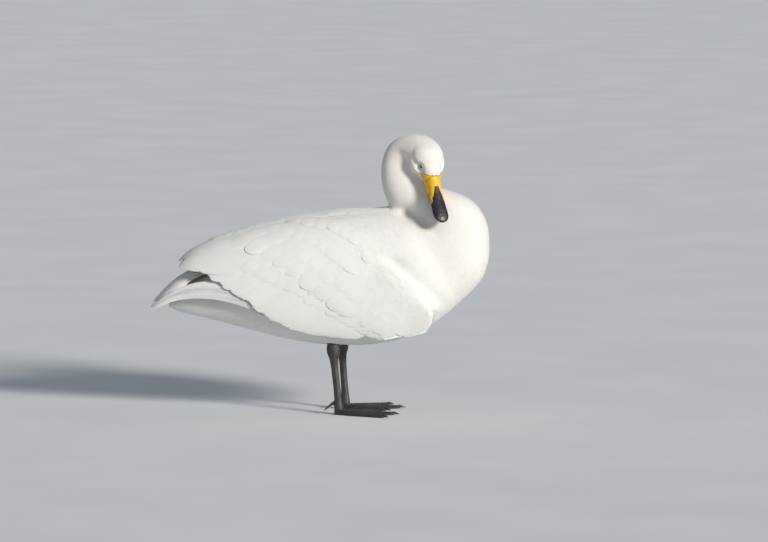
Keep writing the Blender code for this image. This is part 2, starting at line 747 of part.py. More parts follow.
def main():
    clear_scene()
    rump, trunk = make_trunk()
    neck = make_neck()
    make_head(neck)
    make_bill()
    make_wings(trunk)
    make_tail(trunk, rump)
    make_legs()
    centre_on_origin()


main()
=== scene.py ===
"""The looks of the whooper swan: one skin, a coat of solid vanes over it, and the studio round it."""

import math

import bmesh
import bpy
import numpy as np
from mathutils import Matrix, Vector
from mathutils.bvhtree import BVHTree
from mathutils.kdtree import KDTree


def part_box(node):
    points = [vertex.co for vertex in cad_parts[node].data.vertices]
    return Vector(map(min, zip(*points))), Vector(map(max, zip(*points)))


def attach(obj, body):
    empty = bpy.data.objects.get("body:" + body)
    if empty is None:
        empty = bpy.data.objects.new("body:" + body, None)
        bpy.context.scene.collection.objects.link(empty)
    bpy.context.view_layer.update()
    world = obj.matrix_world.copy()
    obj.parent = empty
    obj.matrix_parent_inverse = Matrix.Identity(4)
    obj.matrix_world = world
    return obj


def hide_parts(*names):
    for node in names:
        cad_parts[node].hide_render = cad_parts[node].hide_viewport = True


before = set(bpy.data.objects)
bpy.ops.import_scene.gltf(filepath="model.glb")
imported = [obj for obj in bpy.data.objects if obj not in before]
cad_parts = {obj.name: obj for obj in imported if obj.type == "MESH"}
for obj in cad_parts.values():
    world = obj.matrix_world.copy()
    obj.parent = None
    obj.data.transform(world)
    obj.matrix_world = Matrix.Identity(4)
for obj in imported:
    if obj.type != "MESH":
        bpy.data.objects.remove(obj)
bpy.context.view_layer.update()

RANDOM = np.random.default_rng(11)
BODY = "root"
SIDES = ("left", "right")

# ---- driving sizes, in metres
SEAM = 0.0022  # the nodes grow by this before they become one skin, and it is taken off again
SKIN_VOXEL, LEG_VOXEL, BILL_VOXEL, CLAW_VOXEL = 0.003, 0.0012, 0.0007, 0.00045
SKIN_PASSES, HEAD_PASSES, LEG_PASSES, BILL_PASSES, CLAW_PASSES = 60, 12, 5, 18, 6

# For each node of flesh: length of its feathers, and depth of its coat.
COAT = {
    "head": (0.0085, 0.0011),
    "nape": (0.0120, 0.0018),
    "neck_4": (0.0135, 0.0021),
    "neck_3": (0.0150, 0.0024),
    "neck_2": (0.0185, 0.0028),
    "neck_1": (0.0240, 0.0034),
    "trunk": (0.0330, 0.0042),
    "rump": (0.0380, 0.0045),
    **{f"thigh_{side}": (0.0220, 0.0030) for side in SIDES},
    **{f"wing_{side}": (0.0300, 0.0034) for side in SIDES},
}
DOWN_THE_BODY = ["head", "nape", "neck_4", "neck_3", "neck_2", "neck_1", "trunk", "rump"]
LIES = {  # the lie of the feathers where it doesn't follow from the next node
    "rump": (-1.0, 0.0, -0.35),
    "trunk": (-1.0, 0.0, -0.10),
    **{f"thigh_{side}": (-0.35, 0.0, -1.0) for side in SIDES},
    **{f"wing_{side}": (-1.0, 0.0, -0.42) for side in SIDES},
}
CREAMY = {"head": 0.70, "nape": 0.55, "neck_4": 0.5, "neck_3": 0.45, "neck_2": 0.42, "neck_1": 0.28}
LEAST_CREAMY = 0.06  # for every other node
SIZE_PASSES, LIE_PASSES, HEAD_EDGE_PASSES, LEVEL_PASSES = 40, 60, 10, 3  # of smoothing over the skin

# The pieces of the coat, and the nodes that each of them covers.
COAT_PIECES = {
    "coat_head": ("head",),
    "coat_nape": ("nape", "neck_4"),
    "coat_neck": ("neck_3", "neck_2"),
    "coat_breast": ("neck_1",),
    "coat_body": ("trunk", "rump"),
    "coat_thighs": ("thigh_left", "thigh_right"),
    "coat_wing_right": ("wing_right",),
    "coat_wing_left": ("wing_left",),
}
UNDER_WINGS = (-0.03, 0.31)  # behind this X and above this Z the large feathers hide the skin
BAKE_PATCH = 0.003  # one vane's size on the UV map

# A small vane: its rows from root to tip, their widths, and its columns from edge to edge.
ROWS = np.array((0.0, 0.30, 0.62, 0.86, 1.0))
ROW_WIDTHS = np.array((0.50, 0.90, 1.0, 0.72, 0.16))
COLUMNS = np.array((-1.0, -0.45, 0.45, 1.0))
PITCH = 0.21  # distance between roots, as a part of the feather's length
DRAWN, LEAST_GAP = 1.6, 0.80  # more roots are drawn than fit, and none is nearer than this to another
ROOT_LIFT, LOW_LIFT, LIFT_RISE = -0.3, 0.55, 0.22  # heights of a spine, as parts of the coat's depth
VANE_YAW, TIP_ROUNDING = 0.10, 0.16
LEAST_AGREEMENT = 0.45  # a vane is left out if the skin's normals under it agree less,
MOST_STRETCH = 0.66  # or if a step between its rows is a larger part of its length

# A large feather.
BIG_ROWS, BIG_COLUMNS = 18, 9
VANE_THICK, RIDGE_HEIGHT, RIPPLE_HEIGHT = 0.0004, 0.0006, 0.0003
QUILL_WIDTH = 0.35  # as a part of the whole width
SHARED_NORMALS = 0.6  # how far a feather is shaded like the surface it lies on

# The surfaces that the folded wings and the tail follow: place along X, lowest, highest and half
# width, each as a part of the box round their nodes.
WING_HULL = np.array((
    (-0.135, -0.038, 0.142, 0.321), (-0.012, -0.038, 0.366, 0.401), (0.051, -0.038, 0.521, 0.498),
    (0.115, -0.038, 0.672, 0.570), (0.162, -0.045, 0.748, 0.634), (0.232, -0.056, 0.813, 0.715),
    (0.355, -0.081, 0.899, 0.827), (0.529, -0.131, 0.989, 0.939), (0.669, -0.153, 1.040, 0.988),
    (0.837, -0.146, 1.050, 1.000), (0.925, -0.074, 1.029, 0.980), (1.004, -0.002, 0.971, 0.939),
    (1.068, 0.088, 0.863, 0.851), (1.136, 0.142, 0.755, 0.763),
))
TAIL_HULL = np.array((
    (-0.524, -0.310, -0.149, 1.130), (-0.002, 0.012, 0.221, 1.022), (0.191, 0.109, 0.479, 1.000),
    (0.377, 0.173, 0.704, 1.000), (0.563, 0.213, 0.849, 1.000), (1.091, 0.254, 1.042, 1.000),
    (1.588, 0.254, 1.219, 1.000),
))
HULL_POWER = 2.35  # 2 gives round sections, more gives squarer ones
HULL_STEP, GIRTH_STEP, MOST_GIRTH = 0.004, 0.002, 0.42
HULL_WINDOW = 13  # steps that the table's values are smoothed over
# The wings' surface is laid on the coat: how far it looks for the skin, part of the coat's depth,
# limits of the shift, where it fades in from and over what length, and passes of smoothing.
FIT_REACH, FIT_DEPTH, FIT_LIMITS = 0.03, 0.8, (-0.003, 0.005)
FIT_FROM, FIT_OVER, FIT_PASSES = -0.09, 0.08, 12

# Folds in the plumage, with places along and up the wings' box: the wing's leading edge, and the
# shoulder in front of the neck.
FOLDS = (
    dict(start=(0.841, 0.640), end=(0.990, 0.344), step=0.0040, groove=0.0022, reach=0.050),
    dict(start=(0.898, 1.032), end=(0.988, 0.863), step=0.0050, groove=0.0035, reach=0.035,
         fades=(0.5, 0.8)),
)
FOLD_WIDTH, GROOVE_WIDTH, GROOVE_AHEAD = 0.009, 0.012, 0.011
OFF_MIDLINE = 0.05  # the folds fade out nearer to the midline than this

# The hollow where the neck, the shoulder and the wing meet.
POCKET = (0.857, 0.651)
POCKET_SLANT = math.radians(-25)
POCKET_DEPTH, POCKET_LENGTH, POCKET_WIDTH = 0.0055, 0.022, 0.0100

# The face. Places on it are ahead of the eyes, above them and to the left.
EYE_RADIUS = 0.0064
EYE_OPENING = (0.0050, 0.0036)  # half length along the bill, half height
EYE_SINK = 0.0050
BEHIND_BALL = -0.014  # skin deeper than this has no part in the eye
EYE_RINGS, EYE_SPOKES, PUPIL_ANGLE = 40, 64, 0.42
LID_THICK = 0.0006
FINER_WITHIN = (0.036, 0.017)  # of an eye; the skin's faces are split once within each
GROOVE_DEPTH, BROW_HEIGHT, CHEEK_HEIGHT = 0.0036, 0.0012, 0.0028
LORE_BACK, BILL_BASE = 0.0115, 0.034

# The bill, in the same places.
BILL_HALF_WIDTHS = ((0.03, 0.06, 0.11, 0.1342), (0.017, 0.0155, 0.0172, 0.009))  # places, widths
NOSTRIL = (0.078, -0.0100)
NAIL_PLACE, NAIL_LENGTH, NAIL_WIDTH = 0.1295, 0.0085, 0.0068
COMB_PITCH = 0.0021  # of the teeth along the cutting edge
YELLOW_TOP, YELLOW_SIDE, YELLOW_UNDER = 0.052, 0.088, 0.056  # where the black starts

# The legs.
SCALE_LENGTH, SCALE_DEPTH = 0.0030, 0.0003
LEG_SEAM = 0.0004  # the leg's nodes grow by this before they become one skin
LEG_RISE = 0.010  # the leg's end goes up by this into the belly's plumage
CLAW_GROWTH = 1.16  # from its tip, so that a claw's base lies inside its toe

# The studio and the camera.
FLOOR_RADIUS, FLOOR_SIDES, FLOOR_DROP = 70.0, 96, 0.0002
SUN_POWER, SUN_ANGLE, SUN_COLOUR = 3.3, math.radians(13), (1.0, 0.965, 0.91)
TO_THE_SUN = Vector((0.65, -0.66, 0.37))
SKY_POWER, SKY_COLOUR = 0.30, (0.80, 0.88, 1.0, 1)
SENSOR = 36.0
CAMERA_DISTANCE, CAMERA_RISE, VIEW_WIDTH = 12.0, math.radians(5.5), 1.690
CAMERA_TARGET = Vector((0.1426, 0.0, 0.3117))


def box_of(*names):
    """The lowest and the highest corner of some nodes together."""
    corners = np.array([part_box(name) for name in names])
    return corners[:, 0].min(0), corners[:, 1].max(0)


WINGS = box_of(*[f"{node}_{side}" for node in ("wing", "secondaries", "primaries") for side in SIDES])
TAIL = box_of("tail")


def in_box(box, along, up):
    """X and Z for places given as parts of a box's length and height."""
    low, high = box
    return low[0] + np.array(along) * (high - low)[0], low[2] + np.array(up) * (high - low)[2]


# ---- mesh helpers
def clamp(value):
    return np.clip(value, 0, 1)


def eased(value):
    """0 to 1, flat at both ends."""
    value = clamp(value)
    return value * value * (3 - 2 * value)


def bell(distance, width):
    return np.exp(-((distance / width) ** 2))


def unit(v):
    return v / np.maximum(np.linalg.norm(v, axis=-1, keepdims=True), 1e-12)


def on_surface(ways, normals):
    """Directions turned so that they run along the surface."""
    return unit(ways - normals * (ways * normals).sum(1, keepdims=True))


def placed(name, data):
    """A new object in the scene."""
    obj = bpy.data.objects.new(name, data)
    bpy.context.scene.collection.objects.link(obj)
    return obj


def grown(nodes, by):
    """The nodes' meshes in one bmesh, welded, each point moved out by a distance."""
    bm = bmesh.new()
    for name in nodes:
        part = bmesh.new()
        part.from_mesh(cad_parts[name].data)
        bmesh.ops.remove_doubles(part, verts=part.verts, dist=1e-6)
        part.normal_update()
        for v in part.verts:
            v.co += v.normal * by
        copy = bpy.data.meshes.new("part")
        part.to_mesh(copy)
        part.free()
        bm.from_mesh(copy)
        bpy.data.meshes.remove(copy)
    return bm


def remeshed(nodes, voxel, by=SEAM):
    """Points and faces of one closed surface round all the nodes."""
    bm = grown(nodes, by)
    mesh = bpy.data.meshes.new("union")
    bm.to_mesh(mesh)
    bm.free()
    obj = placed("union", mesh)
    modifier = obj.modifiers.new("one", "REMESH")
    modifier.mode = "VOXEL"
    modifier.voxel_size = voxel
    bpy.context.view_layer.update()
    done = obj.evaluated_get(bpy.context.evaluated_depsgraph_get()).to_mesh()
    points, faces = mesh_arrays(done)
    bpy.data.objects.remove(obj)
    bpy.data.meshes.remove(mesh)
    return points, faces


def mesh_arrays(mesh):
    points = np.empty(len(mesh.vertices) * 3)
    mesh.vertices.foreach_get("co", points)
    faces = [tuple(p.vertices) for p in mesh.polygons]
    return points.reshape(-1, 3), faces


def triangles_of(faces):
    return np.array([(face[0], face[k], face[k + 1]) for face in faces for k in range(1, len(face) - 1)])


def surface(points, faces):
    return BVHTree.FromPolygons(points.tolist(), faces if isinstance(faces, list) else faces.tolist())


def joined(parts):
    """Points and faces of several meshes in one."""
    faces, start = [], 0
    for points, own_faces in parts:
        faces += [tuple(k + start for k in face) for face in own_faces]
        start += len(points)
    return np.concatenate([points for points, _ in parts]), faces


def nearest(tree, points):
    """The nearest places on a surface, and the numbers of their triangles."""
    found = [tree.find_nearest(point) for point in points.reshape(-1, 3)]
    return np.array([f[0] for f in found]).reshape(points.shape), [f[2] for f in found]


class Net:
    """The neighbours of each point of a mesh, for smoothing."""

    def __init__(self, count, faces):
        pairs = {(min(a, b), max(a, b)) for face in faces for a, b in zip(face, face[1:] + face[:1])}
        edges = np.array(sorted(pairs))
        self.here, self.there = edges.T.ravel(), edges[:, ::-1].T.ravel()
        self.count = count
        self.degree = np.maximum(np.bincount(self.here, minlength=count), 1)

    def averaged(self, values, passes):
        """Values at the points, each replaced by its neighbours' mean that many times."""
        values = np.array(values, float)
        flat = values.reshape(self.count, -1)
        for _ in range(passes):
            for column in range(flat.shape[1]):
                total = np.bincount(self.here, flat[self.there, column], self.count)
                flat[:, column] = total / self.degree
        return flat.reshape(values.shape)

    def smoothed(self, points, passes):
        """Smooth points that keep the large shape: what the first smoothing lost is put back."""
        once = self.averaged(points, passes)
        return once + self.averaged(points - once, passes)


def point_normals(points, triangles):
    corners = points[triangles]
    face = np.cross(corners[:, 1] - corners[:, 0], corners[:, 2] - corners[:, 0])
    normals = np.zeros_like(points)
    for k in range(3):
        for axis in range(3):
            normals[:, axis] += np.bincount(triangles[:, k], face[:, axis], len(points))
    return unit(normals)


def mesh_object(name, points, faces, material, slot):
    mesh = bpy.data.meshes.new(name)
    mesh.from_pydata(points.tolist(), [], faces if isinstance(faces, list) else faces.tolist())
    mesh.shade_smooth()
    mesh.materials.append(material)
    obj = placed(name, mesh)
    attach(obj, BODY)
    return obj


def share_normals(obj, normals, share):
    """Turns a piece's shading towards that of the surface it lies on, as barbs scatter light."""
    mesh = obj.data
    own = np.empty(len(mesh.vertices) * 3)
    mesh.vertices.foreach_get("normal", own)
    mixed = unit(own.reshape(-1, 3) * (1 - share) + normals * share)
    mesh.normals_split_custom_set_from_vertices(mixed.tolist())


def add_attribute(obj, name, values):
    obj.data.attributes.new(name, "FLOAT", "POINT").data.foreach_set("value", np.ravel(values))


def add_uv(obj, uv):
    """A UV map from one pair of numbers for each point."""
    loops = np.empty(len(obj.data.loops), int)
    obj.data.loops.foreach_get("vertex_index", loops)
    obj.data.uv_layers.new(name="OFBake").uv.foreach_set("vector", uv[loops].ravel())


def vane_mesh(name, points, faces, material, normals, share, uv, **attributes):
    """One piece of many feathers, with its UV map and a value of each attribute at each point."""
    shape = points.shape[:-1]
    obj = mesh_object(name, points.reshape(-1, 3), faces, material, "plumage")
    share_normals(obj, normals.reshape(-1, 3), share)
    for key, values in attributes.items():
        add_attribute(obj, key, np.broadcast_to(values, shape))
    add_uv(obj, np.stack([np.broadcast_to(part, shape).ravel() for part in uv], 1))
    return obj


# ---- the head's own frame
def middle(name):
    low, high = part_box(name)
    return np.array((low + high) / 2)


def long_axis(name):
    points, _ = mesh_arrays(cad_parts[name].data)
    return np.linalg.svd(points - points.mean(0), full_matrices=False)[2][0]


EYES = {side: middle(f"eye_{side}") for side in SIDES}
LEFT = unit(EYES["left"] - EYES["right"])
BETWEEN_EYES = (EYES["left"] + EYES["right"]) / 2
ALONG_BILL = long_axis("bill_lower")
AHEAD = unit(ALONG_BILL * np.sign(ALONG_BILL @ (middle("bill_lower") - BETWEEN_EYES)))
AHEAD = unit(AHEAD - LEFT * (AHEAD @ LEFT))
CROWN = np.cross(AHEAD, LEFT)


def in_head(points):
    """Distance ahead of the eyes, above them and to the left, for points of the row frame."""
    relative = points - BETWEEN_EYES
    return relative @ AHEAD, relative @ CROWN, relative @ LEFT


# ---- materials
class Nodes:
    """A material's node tree, with short calls to add nodes and link them."""

    def __init__(self, name, roughness, **sockets):
        self.material = bpy.data.materials.new(name)
        self.material.use_nodes = True
        self.tree = self.material.node_tree
        self.shader = self.tree.nodes["Principled BSDF"]
        for key, value in dict(sockets, Roughness=roughness).items():
            self.put(self.shader, key, value)

    def add(self, kind, settings=None, **inputs):
        node = self.tree.nodes.new("ShaderNode" + kind)
        for key, value in (settings or {}).items():
            setattr(node, key, value)
        for key, value in inputs.items():
            self.put(node, key, value)
        return node

    def put(self, node, key, value):
        """Links a socket to a node or sets its value. A key such as _1 is the socket's number."""
        socket = node.inputs[int(key[1:])] if key[0] == "_" else node.inputs[key.replace("_", " ")]
        if isinstance(value, bpy.types.NodeSocket):
            self.tree.links.new(value, socket)
        else:
            socket.default_value = (*value, 1.0) if isinstance(value, tuple) else value

    def attribute(self, name):
        return self.add("Attribute", {"attribute_name": name}).outputs["Fac"]

    def place(self):
        return self.add("TexCoord").outputs["Object"]

    def noise(self, scale, detail=2.0):
        return self.add("TexNoise", Scale=scale, Detail=detail, Vector=self.place()).outputs["Fac"]

    def math(self, operation, a, b=0.0):
        return self.add("Math", {"operation": operation}, _0=a, _1=b).outputs[0]

    def ramp(self, value, low, high, to_low=0.0, to_high=1.0):
        limits = dict(From_Min=low, From_Max=high, To_Min=to_low, To_Max=to_high)
        return self.add("MapRange", {"clamp": True}, Value=value, **limits).outputs["Result"]

    def mix(self, factor, a, b):
        return self.add("Mix", {"data_type": "RGBA"}, _0=factor, _6=a, _7=b).outputs[2]

    def mottled(self, scale, detail, low, high, a, b):
        """Colour a, with patches of colour b."""
        return self.mix(self.ramp(self.noise(scale, detail), low, high), a, b)

    def bump(self, height, strength, distance):
        node = self.add("Bump", Strength=strength, Distance=distance, Height=height)
        self.put(self.shader, "Normal", node.outputs["Normal"])

    def colour(self, socket):
        self.put(self.shader, "Base_Color", socket)
        return self.material


WHITE, CREAM, SHADE = (0.84, 0.83, 0.80), (0.83, 0.77, 0.66), (0.66, 0.64, 0.60)
PAINTED_SHADE = (0.36, 0.38, 0.44)  # painted shade between the folded primaries, where each lies under the next one's edge
BLACK = (0.010, 0.010, 0.010)  # of the legs


def plumage_colour(nodes):
    """White, cream where the attribute tint says so, with a faint mottle."""
    mottle = nodes.ramp(nodes.noise(9.0, 3.0), 0.35, 0.7, 0.0, 0.35)
    white = nodes.mix(mottle, WHITE, tuple(0.965 * c for c in WHITE))
    return nodes.mix(nodes.attribute("tint"), white, CREAM)


def vane_material(name, barb_width, barb_strength):
    """A feather: barbs slant out from the shaft, the base has painted shade, a little darker than the
    tip.
    """
    nodes = Nodes(name, 0.72, Sheen_Weight=0.25, Sheen_Roughness=0.5, Specular_IOR_Level=0.25)
    along, across = nodes.attribute("along"), nodes.attribute("across")
    slant = nodes.math("ADD", along, nodes.math("MULTIPLY", nodes.math("ABSOLUTE", across), -0.8))
    barbs = nodes.math("SINE", nodes.math("MULTIPLY", slant, 2 * math.pi / barb_width))
    nodes.bump(nodes.math("ADD", barbs, nodes.noise(900.0)), barb_strength, 0.0002)
    # Painted shade towards the base, which lies under the feathers over it.
    base = nodes.ramp(nodes.attribute("reach"), 0.1, 0.75, 0.55, 0.0)
    colour = nodes.mix(base, plumage_colour(nodes), SHADE)
    tone = nodes.attribute("tone")
    colour = nodes.mix(tone, colour, tuple(0.93 * c for c in WHITE))
    # Painted shade: the primaries are greyed beside the shaft, where the edge of the feather over each
    # one lies.
    return nodes.colour(nodes.mix(nodes.attribute("dusk"), colour, PAINTED_SHADE))


def skin_material():
    nodes = Nodes("plumage_skin", 0.8, Specular_IOR_Level=0.2)
    nodes.bump(nodes.noise(500.0, 4.0), 0.35, 0.0006)
    yellow = nodes.mottled(260.0, 3.0, 0.3, 0.7, (0.86, 0.47, 0.02), (0.92, 0.58, 0.06))
    lore = nodes.attribute("lore")
    colour = nodes.mix(nodes.ramp(lore, 0.45, 0.85), plumage_colour(nodes), yellow)
    # A dark line round the bare lores, where the feathers end: painted shade under the feathers' edge.
    rim = nodes.math("ABSOLUTE", nodes.math("SUBTRACT", lore, 0.55))
    colour = nodes.mix(nodes.ramp(rim, 0.16, 0.42, 1.0, 0.0), colour, (0.02, 0.018, 0.015))
    return nodes.colour(nodes.mix(nodes.attribute("lid"), colour, (0.05, 0.042, 0.038)))


def leg_material():
    nodes = Nodes("leg_skin", 0.42, Coat_Weight=0.15, Coat_Roughness=0.3)
    cells = nodes.add("TexVoronoi", {"feature": "DISTANCE_TO_EDGE"}, Vector=nodes.place(), Scale=700.0)
    rim = nodes.ramp(cells.outputs["Distance"], 0.0, 0.12)
    nodes.bump(nodes.math("ADD", rim, nodes.noise(1500.0)), 0.5, 0.0004)
    colour = nodes.mottled(60.0, 4.0, 0.35, 0.7, BLACK, (0.030, 0.029, 0.028))
    return nodes.colour(nodes.mix(rim, (0.035, 0.032, 0.030), colour))


def scale_material():
    nodes = Nodes("leg_scales", 0.36, Coat_Weight=0.2, Coat_Roughness=0.25)
    nodes.bump(nodes.noise(1800.0, 3.0), 0.3, 0.0002)
    colour = nodes.mottled(80.0, 4.0, 0.3, 0.7, BLACK, (0.034, 0.032, 0.031))
    return nodes.colour(nodes.mix(nodes.attribute("tone"), colour, (0.085, 0.080, 0.076)))


def claw_material():
    nodes = Nodes("claw_horn", 0.3, Coat_Weight=0.3, Coat_Roughness=0.15)
    nodes.bump(nodes.noise(900.0, 3.0), 0.3, 0.0002)
    worn = nodes.mottled(200.0, 3.0, 0.4, 0.75, (0.010, 0.009, 0.009), (0.045, 0.040, 0.036))
    return nodes.colour(worn)


def bill_material():
    """Yellow horn that goes over to black; the attribute black says where."""
    nodes = Nodes("bill_horn", 0.44, Coat_Weight=0.06, Coat_Roughness=0.2)
    nodes.bump(nodes.math("ADD", nodes.noise(420.0, 5.0), nodes.noise(60.0)), 0.25, 0.0004)
    yellow = nodes.mottled(70.0, 4.0, 0.3, 0.7, (0.93, 0.56, 0.02), (0.80, 0.40, 0.01))
    black = nodes.mottled(70.0, 4.0, 0.3, 0.7, (0.010, 0.008, 0.010), (0.032, 0.024, 0.030))
    ragged = nodes.math("MULTIPLY", nodes.math("SUBTRACT", nodes.noise(260.0, 3.0), 0.5), 0.25)
    edge = nodes.math("ADD", nodes.attribute("black"), ragged)
    return nodes.colour(nodes.mix(nodes.ramp(edge, 0.42, 0.58), yellow, black))


def eye_material():
    """Black pupil in a very dark brown iris, under a clear wet coat."""
    nodes = Nodes("eye_wet", 0.08, Coat_Weight=1.0, Coat_Roughness=0.02)
    iris = nodes.mottled(900.0, 4.0, 0.3, 0.7, (0.008, 0.004, 0.003), (0.026, 0.012, 0.007))
    return nodes.colour(nodes.mix(nodes.attribute("pupil"), iris, (0.001, 0.001, 0.001)))


def floor_material():
    nodes = Nodes("studio_floor", 0.9, Specular_IOR_Level=0.1)
    nodes.bump(nodes.noise(160.0, 3.0), 0.1, 0.0005)
    return nodes.colour(nodes.mottled(3.0, 4.0, 0.3, 0.7, (0.74, 0.75, 0.76), (0.78, 0.79, 0.80)))


# ---- the skin
def node_of_each(points, names):
    """For each point, the number of the named node whose surface is nearest."""
    parts = [mesh_arrays(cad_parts[name].data) for name in names]
    owner = np.repeat(range(len(parts)), [len(faces) for _, faces in parts])
    return owner[nearest(surface(*joined(parts)), points)[1]]


def lies_of(names):
    """The way the feathers point on each node: from the node before it to the one after."""
    centres = [middle(name) for name in DOWN_THE_BODY]
    lies = dict(LIES)
    for k, name in enumerate(DOWN_THE_BODY):
        if name not in lies:
            before = centres[k - 1] if k else centres[0] + AHEAD * 0.05
            lies[name] = centres[k + 1] - before
    return np.array([unit(np.array(lies[name], float)) for name in names])


class Skin:
    """The body's surface, with what its coat needs to know at each point."""

    def __init__(self):
        self.names = names = list(COAT)
        points, self.faces = finer_face(*remeshed(names, SKIN_VOXEL))
        self.triangles = triangles_of(self.faces)
        self.owner = owner = node_of_each(points, names)
        net = Net(len(points), self.faces)
        self.size, depth = net.averaged(np.array([COAT[name] for name in names])[owner], SIZE_PASSES).T
        lie = net.averaged(lies_of(names)[owner], LIE_PASSES)
        on_head = clamp((0.075 + in_head(points)[0]) / 0.02) * (owner <= names.index("nape"))
        on_head = net.averaged(on_head, HEAD_EDGE_PASSES)
        smooth = net.smoothed(points, SKIN_PASSES)
        fine = net.smoothed(points, HEAD_PASSES)
        points = smooth + (fine - smooth) * on_head[:, None]
        points = sculpted_face(points, point_normals(points, self.triangles), on_head)
        normals = point_normals(points, self.triangles)
        for sizes in FOLDS:
            points = fold(points, normals, **sizes)
        points = hollow(points, normals)
        self.lore = lore_mask(points) * on_head
        self.depth = depth * (1 - self.lore)
        normals = net.averaged(point_normals(points, self.triangles), LEVEL_PASSES)
        self.points = open_eyes(points - unit(normals) * (self.depth + SEAM)[:, None])
        self.normals = point_normals(self.points, self.triangles)
        self.level = unit(net.averaged(self.normals, LEVEL_PASSES))
        self.lie = on_surface(lie, self.normals)
        self.lid = lid_mask(self.points)
        self.tint = np.array([CREAMY.get(name, LEAST_CREAMY) for name in names])[owner]
        self.run, self.turn = self.unwrapped()
        self.tree = surface(self.points, self.triangles)

    def unwrapped(self):
        """Where each point lies on the flat: down the body, and round it."""
        centres = np.array([middle(name) for name in DOWN_THE_BODY])
        run, turn = np.zeros((2, len(self.points)))
        for number, name in enumerate(self.names):
            mine = self.owner == number
            k = DOWN_THE_BODY.index(name) if name in DOWN_THE_BODY else len(DOWN_THE_BODY) - 2
            axis = unit(centres[min(k + 1, len(centres) - 1)] - centres[max(k - 1, 0)])
            across = np.array([0.0, 1.0, 0.0])
            across = unit(across - axis * (across @ axis))
            relative = self.points[mine] - centres[k]
            run[mine] = k * 0.13 + np.clip(relative @ axis, -0.3, 0.3) * 0.4
            turn[mine] = np.arctan2(relative @ across, relative @ np.cross(axis, across)) / (2 * math.pi)
        run = (run - run.min()) / (run.max() - run.min())
        return 0.01 + 0.97 * run, 0.5 + 0.97 * turn


def finer_face(points, faces):
    """Splits the faces round the eyes and lores, so that lids can be shaped."""
    bm = bmesh.new()
    made = [bm.verts.new(p) for p in points]
    for face in faces:
        bm.faces.new([made[k] for k in face])
    for reach in FINER_WITHIN:
        near = set()
        for v in bm.verts:
            gap = min((v.co - Vector(EYES[side])).length for side in EYES)
            if gap < reach:
                near.update(v.link_edges)
        bmesh.ops.subdivide_edges(bm, edges=list(near), cuts=1, use_grid_fill=True)
    bmesh.ops.triangulate(bm, faces=[face for face in bm.faces if len(face.verts) > 4])
    bm.verts.index_update()
    points = np.array([v.co for v in bm.verts])
    faces = [tuple(v.index for v in face.verts) for face in bm.faces]
    bm.free()
    return points, faces


def sculpted_face(points, normals, on_head):
    """The groove that the eye lies in, the brow over it, and the cheek below."""
    ahead, above, left = in_head(points)
    line = above - 6.0 * np.minimum(ahead + 0.006, 0) ** 2  # it curves up behind the eye
    groove = bell(line, 0.0040) * bell(np.minimum(ahead + 0.002, 0), 0.034)
    groove *= bell(np.maximum(ahead - 0.006, 0), 0.010)
    brow = bell(above - 0.0105, 0.0045) * bell(ahead - 0.002, 0.014)
    cheek = bell(above + 0.0130, 0.0085) * bell(ahead + 0.012, 0.024)
    push = -GROOVE_DEPTH * groove + BROW_HEIGHT * brow + CHEEK_HEIGHT * cheek
    push = push * clamp(np.abs(left) / 0.012) * on_head
    return points + normals * push[:, None]


def fold(points, normals, start, end, step, groove, reach, fades=(0.25, 0.25)):
    """A fold from start to end on both sides: the plumage behind it stands over the rest.

    step is its height, groove the depth of the groove ahead of it, and reach how far back the
    plumage stands up. fades says how slowly it starts and ends, as parts of its length.
    """
    start, end = (np.array(in_box(WINGS, *place)) for place in (start, end))
    way = unit(end - start)
    relative = points[:, [0, 2]] - start
    along = relative @ way / np.linalg.norm(end - start)
    behind = relative @ np.array((way[1], -way[0]))
    hold = clamp((along + 0.10) / fades[0]) * clamp((1.35 - along) / fades[1])
    hold = hold * clamp(np.abs(points[:, 1]) / OFF_MIDLINE - 0.6)
    raised = eased(behind / FOLD_WIDTH + 0.5) * bell(np.maximum(behind, 0), reach)
    push = (step * raised - groove * bell(behind + GROOVE_AHEAD, GROOVE_WIDTH)) * hold
    return points + normals * push[:, None]


def hollow(points, normals):
    """The hollow where the neck, the shoulder and the wing meet: long, and slanting down ahead."""
    x, z = in_box(WINGS, *POCKET)
    ahead, above = points[:, 0] - x, points[:, 2] - z
    cos, sin = math.cos(POCKET_SLANT), math.sin(POCKET_SLANT)
    push = -POCKET_DEPTH * bell(ahead * cos + above * sin, POCKET_LENGTH)
    push = push * bell(above * cos - ahead * sin, POCKET_WIDTH) * (np.abs(points[:, 1]) > OFF_MIDLINE)
    return points + normals * push[:, None]


def eye_frame(side):
    """Centre of the ball, which lies deeper than its CAD node, and the ways along, up and out."""
    out = unit(LEFT * (1 if side == "left" else -1) + AHEAD * 0.22 + CROWN * 0.10)
    along = unit(AHEAD - out * (AHEAD @ out))
    up = np.cross(out, along)
    return EYES[side] - out * EYE_SINK, along, up * np.sign(up @ CROWN), out


def round_eye(points, side):
    """Places round one eye: along the bill, up and out from the ball's centre."""
    centre, along, up, out = eye_frame(side)
    relative = points - centre
    return relative @ along, relative @ up, relative @ out


def opening(points, side):
    """1 on the edge of the almond between the lids, less inside it and more outside."""
    along, up, out = round_eye(points, side)
    tilt = up - 0.15 * along
    reach = np.sqrt((along / EYE_OPENING[0]) ** 2 + (tilt / EYE_OPENING[1]) ** 2)
    return np.where(out > BEHIND_BALL, reach, 9.0)


def open_eyes(points):
    """Sinks the skin inside each eye's opening and lays lids on the ball round it."""
    points = points.copy()
    for side in EYES:
        way = eye_frame(side)[3]
        along, up, out = round_eye(points, side)
        distance = np.hypot(along, up)
        lid = clamp((opening(points, side) - 0.90) / 0.20)
        radius = EYE_RADIUS * 0.80 + (EYE_RADIUS * 0.20 + LID_THICK) * lid
        edge = 0.80 * radius
        dome = np.sqrt(radius**2 - np.minimum(distance, edge) ** 2)
        target = dome - 0.55 * np.maximum(distance - edge, 0)
        hold = eased((2.1 * EYE_RADIUS - distance) / (1.2 * EYE_RADIUS)) * (out > BEHIND_BALL)
        points += way * ((target - out) * hold)[:, None]
    return points


